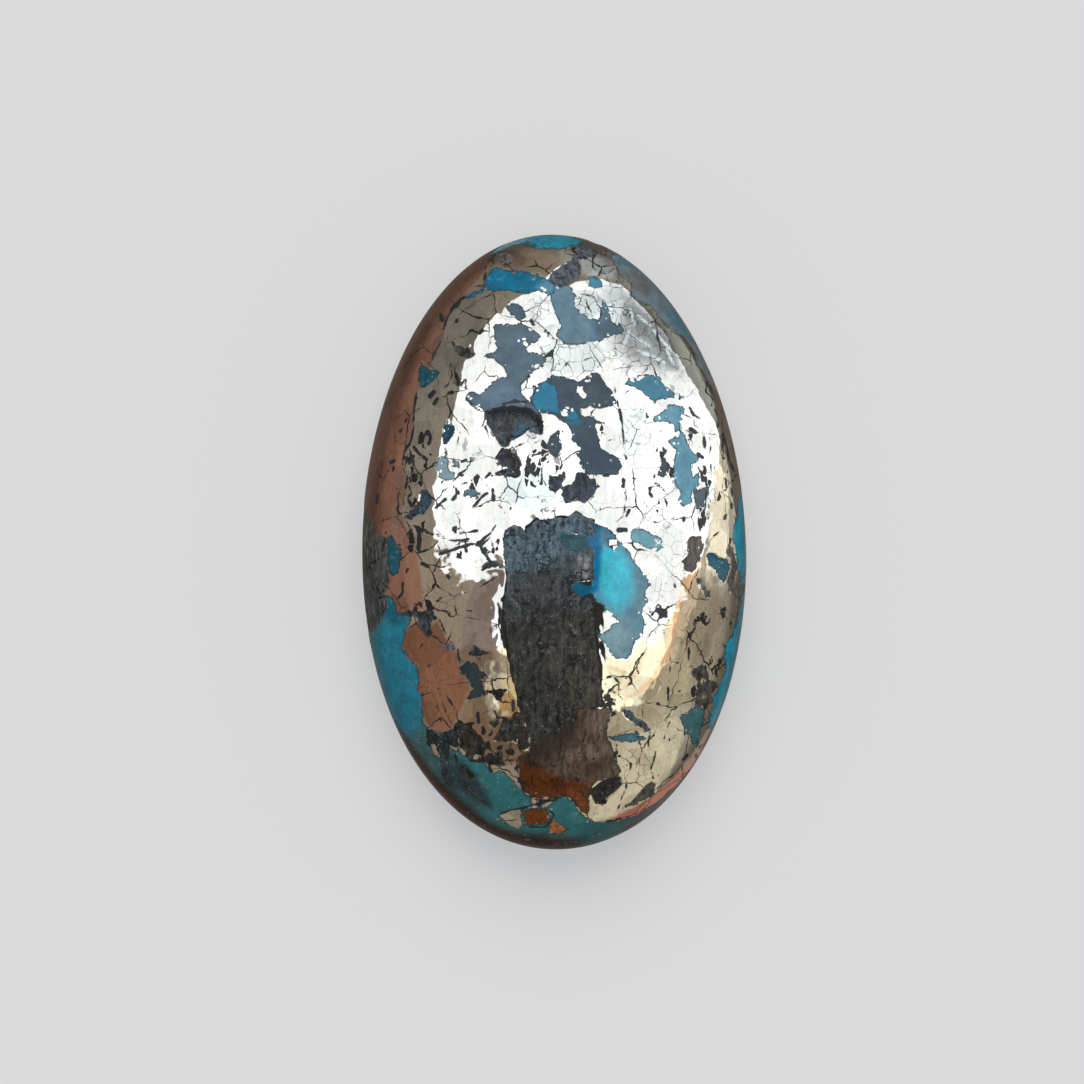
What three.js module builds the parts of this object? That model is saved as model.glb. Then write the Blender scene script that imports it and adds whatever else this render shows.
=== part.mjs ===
// An oval cabochon of turquoise with pyrite, cut and polished from one piece of rough.
// It lies on its flat ground back: the dome faces +Z, the long axis runs along Y, and the
// back is on Z = 0 with the origin at the middle of the stone's footprint. Sizes are in
// millimetres. It is one solid, because turquoise, pyrite and matrix grew together.
import * as THREE from "three";
import { mergeVertices } from "three/addons/utils/BufferGeometryUtils.js";

// Driving dimensions of the finished stone
const LENGTH = 32;
const WIDTH = 20;
const THICKNESS = 8.5;

// The outline seen from above: an ellipse that is narrower at its upper end and full at both
const END_TAPER = 0.045;
const END_FULLNESS = 0.03;
const END_LEAN = 0.12;

// The section: a dome above the girdle, where the stone is widest, and a wall below it
const GIRDLE_HEIGHT = 2.1;
const DOME_SQUARENESS = 2.3;
const WALL_INSET = 0.07;
const WALL_CURVE = 2.2;

// How finely the surface is divided
const SEGMENTS = 96;
const DOME_RINGS = 28;
const WALL_RINGS = 5;
const BACK_RINGS = 2;

// Slow unevenness left by cutting the dome by hand
const UNEVENNESS = [
  { height: 0.045, alongX: 0.62, alongY: 0.31, phase: 0.9 },
  { height: 0.04, alongX: -0.38, alongY: 0.52, phase: 2.3 },
  { height: 0.03, alongX: 0.95, alongY: -0.44, phase: 4.1 },
];

// Pits where soft matrix fell out under the polishing wheel. Each is an oval at a place on
// the face, with its half length and half width, its turn in degrees and its depth.
const PITS = [
  { at: [-2.1, 6.0], half: [1.7, 0.95], turn: -4, depth: 0.3 },
  { at: [-2.4, 4.1], half: [0.8, 0.8], turn: 0, depth: 0.2 },
  { at: [-4.5, -10.1], half: [1.1, 0.95], turn: -20, depth: 0.2 },
  { at: [2.7, -12.8], half: [1.0, 0.7], turn: 40, depth: 0.3 },
  { at: [4.5, -13.0], half: [1.0, 0.5], turn: 45, depth: 0.2 },
];

// Half of the section, worked out from the top of the dome over the girdle to the middle of
// the back, and turned round because a lathe wants it from the bottom up. The first number is
// the share of the way out to the outline, the second the height.
function sectionProfile() {
  const points = [];
  for (let i = 0; i <= DOME_RINGS; i++) {
    const angle = ((i / DOME_RINGS) * Math.PI) / 2;
    const out = Math.pow(Math.sin(angle), 2 / DOME_SQUARENESS);
    const up = i === DOME_RINGS ? 0 : Math.pow(Math.cos(angle), 2 / DOME_SQUARENESS);
    points.push(new THREE.Vector2(out, GIRDLE_HEIGHT + (THICKNESS - GIRDLE_HEIGHT) * up));
  }
  for (let i = 1; i <= WALL_RINGS; i++) {
    const down = i / WALL_RINGS;
    const out = 1 - WALL_INSET * Math.pow(down, WALL_CURVE);
    points.push(new THREE.Vector2(out, GIRDLE_HEIGHT * (1 - down)));
  }
  for (let i = 1; i <= BACK_RINGS; i++) {
    points.push(new THREE.Vector2((1 - WALL_INSET) * (1 - i / BACK_RINGS), 0));
  }
  return points.reverse();
}

// The place on the outline at an angle round the stone, as a share of the half sizes.
function outlinePoint(angle) {
  const along = Math.sin(angle);
  const across = Math.cos(angle);
  const swell = 1 - END_TAPER * along + END_FULLNESS * along * along;
  return new THREE.Vector2((WIDTH / 2) * across * swell - END_LEAN * along, (LENGTH / 2) * along);
}

function unevennessAt(x, y) {
  return UNEVENNESS.reduce(
    (sum, wave) => sum + wave.height * Math.sin(wave.alongX * x + wave.alongY * y + wave.phase),
    0,
  );
}

// How deep the pits are at a place on the face. Each has a flat floor and sloping sides.
function pitDepthAt(x, y) {
  let depth = 0;
  for (const pit of PITS) {
    const turn = THREE.MathUtils.degToRad(pit.turn);
    const dx = x - pit.at[0];
    const dy = y - pit.at[1];
    const along = (dx * Math.cos(turn) + dy * Math.sin(turn)) / pit.half[0];
    const across = (dy * Math.cos(turn) - dx * Math.sin(turn)) / pit.half[1];
    const inside = 1 - THREE.MathUtils.smoothstep(Math.hypot(along, across), 0.45, 1);
    depth = Math.max(depth, pit.depth * inside);
  }
  return depth;
}

// The turned blank is pulled out to the oval outline, then made uneven and pitted.
function stoneGeometry() {
  const geometry = new THREE.LatheGeometry(sectionProfile(), SEGMENTS);
  geometry.rotateX(Math.PI / 2);
  geometry.deleteAttribute("normal");
  geometry.deleteAttribute("uv");
  const core = new THREE.Vector3(0, 0, GIRDLE_HEIGHT);
  const place = geometry.getAttribute("position");
  const point = new THREE.Vector3();
  for (let i = 0; i < place.count; i++) {
    point.fromBufferAttribute(place, i);
    const out = Math.hypot(point.x, point.y);
    const rim = outlinePoint(Math.atan2(point.y, point.x));
    point.set(rim.x * out, rim.y * out, point.z);
    if (point.z > GIRDLE_HEIGHT) {
      const rise = (point.z - GIRDLE_HEIGHT) / (THICKNESS - GIRDLE_HEIGHT);
      const sink = pitDepthAt(point.x, point.y) - unevennessAt(point.x, point.y) * rise;
      const toCore = core.clone().sub(point);
      point.addScaledVector(toCore.normalize(), sink);
    }
    place.setXYZ(i, point.x, point.y, point.z);
  }
  const merged = mergeVertices(geometry, 1e-3);
  trimToSize(merged);
  merged.computeVertexNormals();
  return merged;
}

// Centres the footprint on the origin and brings the three sizes to the driving dimensions.
function trimToSize(geometry) {
  geometry.computeBoundingBox();
  const size = geometry.boundingBox.getSize(new THREE.Vector3());
  const middle = geometry.boundingBox.getCenter(new THREE.Vector3());
  geometry.translate(-middle.x, -middle.y, -geometry.boundingBox.min.z);
  geometry.scale(WIDTH / size.x, LENGTH / size.y, THICKNESS / size.z);
}

// Polished pale brass of the pyrite, greened by the turquoise between its grains
const polishedStone = new THREE.MeshStandardMaterial({
  color: new THREE.Color(0.5, 0.56, 0.52),
  roughness: 0.25,
  metalness: 0.5,
});

const cabochon = new THREE.Group();
const stone = new THREE.Mesh(stoneGeometry(), polishedStone);
stone.name = "stone";
cabochon.add(stone);

export default cabochon;
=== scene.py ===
# A polished oval cabochon of turquoise with pyrite, lying on its flat back on a pale floor.
# The stone is dressed here: its fine surface, its markings and its polish. Lengths in the
# stone's own section are millimetres, and the mesh is brought to metres at its end.
import math

import bpy
import numpy as np
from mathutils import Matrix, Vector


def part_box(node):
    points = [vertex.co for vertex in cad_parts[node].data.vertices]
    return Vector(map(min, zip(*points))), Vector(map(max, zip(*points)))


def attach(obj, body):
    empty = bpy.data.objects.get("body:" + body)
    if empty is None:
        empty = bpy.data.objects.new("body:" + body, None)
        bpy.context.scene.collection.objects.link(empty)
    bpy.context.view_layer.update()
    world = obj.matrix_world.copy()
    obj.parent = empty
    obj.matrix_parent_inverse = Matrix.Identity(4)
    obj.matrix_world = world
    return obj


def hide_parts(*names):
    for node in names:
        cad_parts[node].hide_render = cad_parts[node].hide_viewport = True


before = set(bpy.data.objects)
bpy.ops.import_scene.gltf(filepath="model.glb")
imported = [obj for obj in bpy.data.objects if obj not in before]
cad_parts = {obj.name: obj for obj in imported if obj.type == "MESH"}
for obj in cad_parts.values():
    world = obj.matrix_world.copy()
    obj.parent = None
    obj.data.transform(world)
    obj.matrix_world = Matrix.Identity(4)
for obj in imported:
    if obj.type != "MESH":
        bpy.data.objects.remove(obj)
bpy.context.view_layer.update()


# The stone
#
# One piece of rock in which turquoise, bright pyrite and dark matrix grew together. It was
# sawn, ground to an oval dome with a flat back, and polished until the pyrite is a mirror.

MM = 0.001
stone_low, stone_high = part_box("stone")
LENGTH = (stone_high.y - stone_low.y) / MM
WIDTH = (stone_high.x - stone_low.x) / MM
THICKNESS = (stone_high.z - stone_low.z) / MM

# The outline and the section, as the solid has them
END_TAPER = 0.045
END_FULLNESS = 0.03
END_LEAN = 0.12
GIRDLE_HEIGHT = 2.1
DOME_SQUARENESS = 2.3
WALL_INSET = 0.07
WALL_CURVE = 2.2
ARRIS = 0.14

# How finely the surface is divided. The face's quads are nearly even as seen from above.
GRID_ACROSS = 226
GRID_ALONG = 356
WALL_RINGS = 8
BACK_RINGS = 3
STEEP_SHARE = 0.4
SECTION_STEPS = 2000
CREASE_ANGLE = math.radians(40)

# A square sheet for the face. Its rim is drawn down in even steps, one for each ring of the
# wall and of the back, so that a vertex's height in the blank says which ring it is in.
bpy.ops.object.select_all(action="DESELECT")
bpy.ops.mesh.primitive_grid_add(x_subdivisions=GRID_ACROSS, y_subdivisions=GRID_ALONG, size=2)
stone = bpy.context.active_object
stone.name = "turquoise_with_pyrite"
bpy.ops.object.mode_set(mode="EDIT")
bpy.ops.mesh.select_mode(type="EDGE")
bpy.ops.mesh.select_all(action="SELECT")
bpy.ops.mesh.region_to_loop()
for _ in range(WALL_RINGS + BACK_RINGS):
    bpy.ops.mesh.extrude_edges_move(TRANSFORM_OT_translate={"value": (0, 0, -1)})
bpy.ops.mesh.merge(type="CENTER")
bpy.ops.object.mode_set(mode="OBJECT")

blank = np.empty(len(stone.data.vertices) * 3)
stone.data.vertices.foreach_get("co", blank)
blank = blank.reshape(-1, 3)
ring = np.rint(-blank[:, 2]).astype(int)

# The square becomes a disc
disc_x = blank[:, 0] * np.sqrt(1 - blank[:, 1] ** 2 / 2)
disc_y = blank[:, 1] * np.sqrt(1 - blank[:, 0] ** 2 / 2)
disc_out = np.hypot(disc_x, disc_y)
angle = np.arctan2(disc_y, disc_x)

# The section of the dome, walked from the top to the girdle. Steps down the steep part are
# counted short, because the face is seen mostly from above.
walk = np.linspace(0, math.pi / 2, SECTION_STEPS)
walk_out = np.sin(walk) ** (2 / DOME_SQUARENESS)
walk_up = np.cos(walk).clip(0) ** (2 / DOME_SQUARENESS)
walk_step = np.hypot(np.diff(walk_out), np.diff(walk_up) * STEEP_SHARE)
walk_length = np.concatenate([[0], np.cumsum(walk_step)])
share = disc_out.clip(0, 1) * walk_length[-1]
out = np.interp(share, walk_length, walk_out)
height = GIRDLE_HEIGHT + (THICKNESS - GIRDLE_HEIGHT) * np.interp(share, walk_length, walk_up)

# The wall below the girdle, the small bevel at its foot, and the flat back
on_wall = (ring > 0) & (ring <= WALL_RINGS - 1)
down = ring / (WALL_RINGS - 1)
out = np.where(on_wall, 1 - WALL_INSET * down ** WALL_CURVE, out)
height = np.where(on_wall, GIRDLE_HEIGHT + (ARRIS - GIRDLE_HEIGHT) * down, height)
on_back = ring >= WALL_RINGS
back_rim = 1 - WALL_INSET - ARRIS / (WIDTH / 2)
out = np.where(on_back, back_rim * (1 - (ring - WALL_RINGS) / BACK_RINGS), out)
height = np.where(on_back, 0, height)

along = np.sin(angle)
swell = 1 - END_TAPER * along + END_FULLNESS * along ** 2
x = ((WIDTH / 2) * np.cos(angle) * swell - END_LEAN * along) * out
y = (LENGTH / 2) * along * out

# The drawing of the face. Places are in millimetres as seen from above, x to the right and
# y towards the narrower end. Each patch has its colour and the outline that goes round it.
TURQUOISE_PATCHES = {
    "top rim": ((0.007, 0.100, 0.132), [
        (-3.3, 15.0), (-2.7, 15.1), (-2.0, 15.22), (-1.3, 15.22), (-0.5, 15.1), (0.3, 15.14),
        (1.2, 15.3), (1.8, 15.45), (2.1, 15.8), (1.0, 17.0), (-3.0, 17.0)]),
    "upper band": ((0.003, 0.066, 0.112), [
        (-4.6, 12.45), (-4.1, 12.8), (-3.55, 13.1), (-3.5, 13.6), (-3.1, 14.15), (-2.5, 14.0),
        (-1.5, 13.92), (-0.7, 13.7), (-0.2, 13.5), (0.1, 13.2), (0.0, 12.8), (-0.3, 12.65),
        (-0.8, 12.9), (-1.5, 12.7), (-1.9, 12.8), (-2.5, 12.9), (-3.0, 12.9), (-3.5, 12.85),
        (-4.2, 12.55)]),
    "upper diamond": ((0.020, 0.105, 0.150), [
        (1.73, 13.3), (1.78, 13.62), (2.05, 13.65), (2.4, 13.4), (2.57, 13.05), (2.2, 12.95),
        (1.8, 13.0)]),
    "left spot": ((0.004, 0.036, 0.050), [
        (-6.95, 8.9), (-6.87, 9.2), (-6.5, 8.95), (-5.83, 8.7), (-6.1, 8.3), (-6.6, 7.9),
        (-6.9, 7.8), (-7.0, 8.2)]),
    "middle": ((0.006, 0.085, 0.140), [
        (-1.15, 7.3), (-1.0, 7.8), (-0.5, 8.2), (0.05, 8.0), (0.2, 7.3), (0.3, 6.8), (1.1, 6.75),
        (1.3, 6.4), (1.0, 6.1), (0.5, 6.25), (0.2, 6.5), (-0.5, 6.6), (-1.0, 6.7)]),
    "left bead": ((0.001, 0.020, 0.031), [
        (-5.7, 5.9), (-5.35, 6.05), (-5.05, 5.9), (-5.05, 5.6), (-5.3, 5.25), (-5.55, 4.95),
        (-5.68, 5.2)]),
    "left pale": ((0.106, 0.160, 0.172), [
        (-5.9, 4.3), (-5.5, 4.4), (-5.3, 4.1), (-5.35, 3.8), (-5.1, 3.6), (-5.15, 3.25),
        (-5.6, 3.15), (-5.9, 3.4), (-6.0, 3.8)]),
    "left pale shard": ((0.085, 0.130, 0.142), [
        (-5.2, 4.35), (-4.9, 4.1), (-4.85, 3.8), (-5.1, 3.9)]),
    "upper river": ((0.026, 0.098, 0.132), [
        (3.6, 8.07), (3.8, 8.37), (4.5, 8.6), (5.1, 8.6), (5.45, 8.37), (5.7, 8.0), (6.2, 7.65),
        (6.7, 7.5), (6.6, 7.3), (6.2, 7.3), (5.8, 7.35), (5.45, 7.3), (5.2, 7.1), (4.85, 7.3),
        (4.5, 7.75), (4.1, 7.95)]),
    "lower river": ((0.060, 0.150, 0.188), [
        (5.8, 7.0), (6.25, 7.05), (6.7, 6.8), (6.45, 6.2), (6.5, 5.7), (6.8, 5.2), (6.9, 4.7),
        (7.3, 4.3), (7.4, 3.7), (7.45, 2.9), (7.1, 2.6), (6.95, 2.2), (7.0, 1.95), (6.6, 1.8),
        (6.3, 2.0), (6.4, 2.5), (6.1, 3.0), (6.05, 4.0), (6.2, 4.7), (5.75, 5.1), (6.2, 5.45),
        (6.05, 5.95), (5.7, 6.2), (5.2, 6.05), (5.0, 6.4), (5.5, 6.6)]),
    "lake": ((0.058, 0.122, 0.150), [
        (1.6, 0.95), (2.0, 1.0), (2.5, 0.75), (2.9, 0.6), (3.3, 0.1), (3.5, -0.2), (3.8, -0.45),
        (4.07, -1.0), (4.4, -1.4), (4.73, -1.8), (4.9, -2.2), (4.7, -2.55), (4.8, -3.0),
        (4.5, -3.55), (4.7, -4.2), (4.5, -4.8), (4.07, -5.2), (3.9, -5.7), (3.7, -6.0),
        (3.2, -5.95), (2.85, -5.65), (2.55, -5.1), (2.2, -4.75), (2.05, -4.0), (1.9, -2.9),
        (1.8, -2.0), (1.9, -1.6), (1.85, -0.6), (1.55, 0.2)]),
    "arm of the lake": ((0.004, 0.055, 0.085), [
        (0.7, -2.15), (1.1, -2.0), (1.6, -2.05), (2.2, -2.2), (2.2, -2.7), (1.7, -2.65),
        (1.3, -2.9), (1.0, -2.6)]),
    "pool": ((0.014, 0.038, 0.044), [
        (0.0, 0.35), (0.5, 0.55), (1.1, 0.45), (1.7, 0.45), (2.1, 0.3), (2.1, -0.2), (1.5, -0.6),
        (0.9, -0.55), (0.3, -0.25)]),
    "above the lake": ((0.075, 0.172, 0.195), [
        (3.85, 0.4), (4.0, 0.65), (4.3, 0.75), (4.7, 0.6), (5.2, 0.3), (5.5, 0.1), (5.55, -0.3),
        (5.2, -0.5), (4.8, -0.4), (4.5, -0.2), (4.1, 0.0), (3.8, 0.15)]),
    "right of the lake": ((0.004, 0.050, 0.075), [
        (7.85, -0.55), (8.2, -0.55), (8.6, -0.8), (9.0, -0.9), (9.05, -1.3), (8.9, -1.7),
        (8.75, -2.1), (8.5, -1.9), (8.3, -1.4), (7.9, -1.2)]),
    "right edge": ((0.001, 0.138, 0.190), [
        (9.6, 2.6), (9.4, 2.2), (9.5, 1.4), (9.3, 0.9), (9.2, 0.4), (9.2, 0.0), (9.4, -0.6),
        (9.6, -1.6), (9.6, -2.4), (9.45, -3.4), (9.35, -4.2), (9.1, -4.9), (8.8, -5.3),
        (8.75, -5.9), (8.85, -6.5), (8.6, -7.3), (8.4, -7.7), (8.15, -8.1), (8.2, -8.6),
        (8.0, -9.2), (7.95, -9.8), (9.0, -9.0), (10.6, -5.0), (10.8, 0.0), (10.4, 2.4)]),
    "lower right": ((0.020, 0.066, 0.068), [
        (6.4, -8.7), (6.8, -8.7), (7.0, -8.5), (7.5, -8.4), (7.75, -8.7), (7.7, -9.2), (7.5, -9.7),
        (7.5, -10.1), (7.35, -10.5), (7.1, -10.3), (6.95, -9.9), (6.7, -9.8), (6.55, -9.3)]),
    "right foot": ((0.010, 0.048, 0.064), [
        (3.2, -14.35), (4.2, -14.2), (5.2, -13.6), (6.1, -12.75), (6.9, -11.8), (7.5, -11.0),
        (8.6, -10.2), (8.0, -13.0), (4.0, -16.0)]),
    "left margin": ((0.005, 0.040, 0.053), [
        (-8.5, 0.2), (-8.3, 0.4), (-8.1, -0.1), (-7.85, -0.1), (-7.8, -0.9), (-7.95, -1.6),
        (-8.3, -1.8), (-8.6, -1.2), (-8.65, -0.5)]),
    "left and foot": ((0.013, 0.073, 0.071), [
        (-8.7, -2.7), (-8.3, -2.8), (-8.1, -3.2), (-8.0, -3.6), (-7.4, -3.6), (-7.3, -4.0),
        (-7.6, -4.5), (-7.7, -5.4), (-7.4, -5.9), (-7.0, -6.2), (-6.85, -6.8), (-7.0, -7.3),
        (-6.7, -7.9), (-6.7, -8.6), (-6.8, -9.1), (-6.55, -9.4), (-6.3, -10.2), (-5.7, -10.8),
        (-5.3, -10.5), (-4.9, -10.7), (-4.5, -11.0), (-3.7, -11.2), (-3.4, -11.5), (-3.1, -11.8),
        (-2.55, -11.6), (-2.0, -12.3), (-1.6, -12.7), (-1.1, -13.0), (-1.1, -13.5), (-0.3, -13.5),
        (0.0, -13.2), (0.6, -13.0), (1.0, -13.3), (1.3, -13.8), (1.8, -14.2), (2.2, -14.4),
        (2.8, -14.35), (3.4, -14.3), (4.0, -14.6), (3.0, -16.5), (0.0, -17.5), (-6.0, -16.0),
        (-10.0, -10.0), (-11.0, -5.0), (-9.4, -4.6), (-8.75, -3.6)]),
}
# Slate-grey rock, and the brown and orange at the foot, which are painted warm reflections laid on
# as rock colour
SLATE_PATCHES = {
    "upper chip": ((0.027, 0.046, 0.060), [
        (-2.5, 12.0), (-2.2, 12.3), (-1.7, 12.1), (-1.45, 11.85), (-1.5, 11.45), (-1.85, 11.3),
        (-2.2, 11.6)]),
    "upper": ((0.037, 0.060, 0.074), [
        (-3.15, 11.05), (-2.6, 11.05), (-2.15, 11.17), (-1.6, 11.15), (-1.2, 10.95), (-0.8, 10.6),
        (-0.63, 10.45), (-1.05, 10.15), (-1.35, 9.85), (-0.8, 9.55), (-0.43, 9.3), (-0.5, 8.95),
        (-0.93, 8.75), (-1.35, 8.35), (-1.65, 7.9), (-1.65, 7.5), (-1.4, 7.2), (-1.0, 7.0),
        (-0.6, 6.5), (-0.55, 5.9), (-0.65, 5.4), (-0.95, 5.5), (-1.3, 5.6), (-1.95, 5.25),
        (-2.3, 5.1), (-2.35, 4.8), (-2.6, 4.8), (-2.9, 5.1), (-3.2, 5.6), (-3.5, 6.2),
        (-3.7, 6.75), (-4.1, 6.95), (-4.5, 7.25), (-4.27, 7.6), (-3.8, 7.5), (-3.5, 7.7),
        (-3.04, 8.15), (-2.4, 8.35), (-2.6, 8.85), (-3.15, 9.3), (-3.6, 9.4), (-3.04, 9.65),
        (-2.93, 9.95)]),
    "middle": ((0.020, 0.035, 0.045), [
        (-1.2, 7.1), (-1.1, 7.9), (-0.4, 8.3), (0.0, 8.5), (0.6, 8.35), (1.18, 8.15), (1.96, 8.6),
        (2.2, 8.7), (2.7, 8.05), (3.0, 7.7), (3.15, 7.2), (3.1, 6.95), (2.6, 6.9), (2.3, 6.8),
        (1.9, 6.95), (1.4, 6.8), (1.35, 6.45), (2.0, 6.4), (2.6, 6.1), (2.1, 6.0), (2.3, 5.4),
        (2.4, 4.85), (3.0, 4.5), (3.35, 4.2), (3.5, 3.9), (3.24, 3.45), (2.8, 3.4), (2.07, 3.4),
        (1.6, 3.5), (1.37, 4.0), (1.14, 4.5), (1.3, 4.8), (0.9, 5.2), (0.85, 5.75), (0.44, 6.1),
        (0.0, 6.45), (-0.6, 6.5)]),
    "upper right": ((0.052, 0.092, 0.116), [
        (-0.27, 13.3), (-0.2, 12.7), (0.05, 11.7), (0.3, 11.05), (0.07, 10.6), (0.57, 10.05),
        (1.4, 10.1), (1.96, 10.17), (2.5, 10.3), (3.07, 10.55), (3.6, 10.75), (3.4, 11.0),
        (2.96, 11.2), (2.75, 11.9), (2.5, 12.4), (2.4, 11.6), (2.23, 11.3), (1.84, 11.4),
        (1.4, 11.65), (1.07, 12.05), (1.12, 12.6), (0.96, 12.95), (0.73, 13.2)]),
    "right shoulder": ((0.066, 0.086, 0.091), [
        (3.0, 14.9), (3.3, 13.7), (3.9, 13.2), (3.9, 12.6), (4.2, 12.35), (4.9, 12.1), (5.3, 11.6),
        (5.8, 11.0), (6.2, 10.7), (6.6, 10.6), (7.0, 10.1), (7.2, 9.7), (7.3, 9.1), (7.9, 8.6),
        (8.3, 8.1), (9.6, 7.6), (8.5, 10.6), (5.5, 15.0), (3.4, 15.8)]),
    "left chip": ((0.040, 0.080, 0.100), [
        (-4.6, 2.75), (-4.3, 2.75), (-4.0, 2.6), (-3.75, 2.5), (-3.95, 2.35), (-4.1, 2.25),
        (-4.4, 2.35), (-4.65, 2.35)]),
    "left of the river": ((0.024, 0.036, 0.044), [
        (5.55, 5.0), (5.75, 4.7), (5.6, 4.3), (5.85, 3.8), (5.75, 3.4), (5.5, 3.2), (5.25, 3.3),
        (5.4, 3.9), (5.5, 4.4)]),
    "foot of the river": ((0.040, 0.056, 0.066), [
        (7.0, 2.6), (7.5, 2.7), (7.9, 2.9), (8.0, 2.6), (7.8, 2.2), (7.7, 1.8), (7.3, 1.7),
        (7.2, 2.2)]),
    "middle sliver": ((0.018, 0.027, 0.034), [
        (0.09, 5.75), (0.3, 5.6), (0.38, 4.8), (0.25, 4.4), (0.09, 4.06), (-0.1, 4.35),
        (-0.4, 4.7), (-0.2, 5.3)]),
    "right bay": ((0.058, 0.048, 0.042), [
        (7.0, 0.3), (7.6, 0.3), (7.7, -0.2), (7.5, -0.9), (7.3, -1.0), (7.3, -1.4), (7.1, -1.6),
        (6.75, -1.5), (6.6, -1.0), (6.9, -0.6), (6.85, 0.0)]),
    "long slot": ((0.022, 0.065, 0.085), [
        (2.65, -9.98), (3.3, -9.8), (4.3, -9.8), (4.8, -9.98), (4.3, -10.12), (3.5, -10.25),
        (2.9, -10.15)]),
    "green chip": ((0.011, 0.019, 0.020), [
        (-4.75, -6.3), (-4.4, -6.07), (-3.9, -6.13), (-3.68, -6.76), (-3.65, -7.26),
        (-3.5, -7.76), (-4.0, -8.0), (-4.4, -7.95), (-4.15, -7.5), (-4.4, -6.9), (-4.7, -6.6)]),
    # Painted reflection: the brown, the orange and the orange bead at the foot stand in for a warm
    # reflection
    "brown foot": ((0.050, 0.034, 0.022), [
        (-1.85, -10.95), (-1.2, -10.7), (-1.3, -9.9), (-0.6, -9.6), (0.2, -9.4), (0.85, -9.0),
        (0.9, -8.5), (1.6, -8.45), (2.3, -8.55), (2.96, -8.44), (2.85, -9.0), (2.65, -9.6),
        (2.75, -10.1), (3.05, -10.6), (3.2, -11.2), (3.45, -11.7), (3.2, -12.0), (2.5, -12.15),
        (1.9, -12.55), (1.9, -12.9), (1.85, -13.6), (1.75, -14.15), (1.3, -13.8), (1.0, -13.3),
        (0.6, -13.0), (0.1, -13.1), (-0.5, -13.1), (-1.1, -13.05), (-1.5, -12.75),
        (-1.75, -12.3)]),
    "orange foot": ((0.082, 0.020, 0.001), [
        (-1.75, -13.65), (-1.1, -13.5), (-0.4, -13.6), (-0.06, -14.0), (-0.15, -14.36),
        (-0.5, -14.6), (-1.1, -14.6), (-1.5, -14.5), (-1.65, -14.2)]),
    "orange foot bead": ((0.200, 0.070, 0.020), [
        (-0.4, -14.55), (0.0, -14.2), (0.35, -14.3), (0.55, -14.6), (0.85, -14.75), (0.4, -15.1),
        (-0.1, -15.15), (-0.35, -14.9)]),
}
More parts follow.
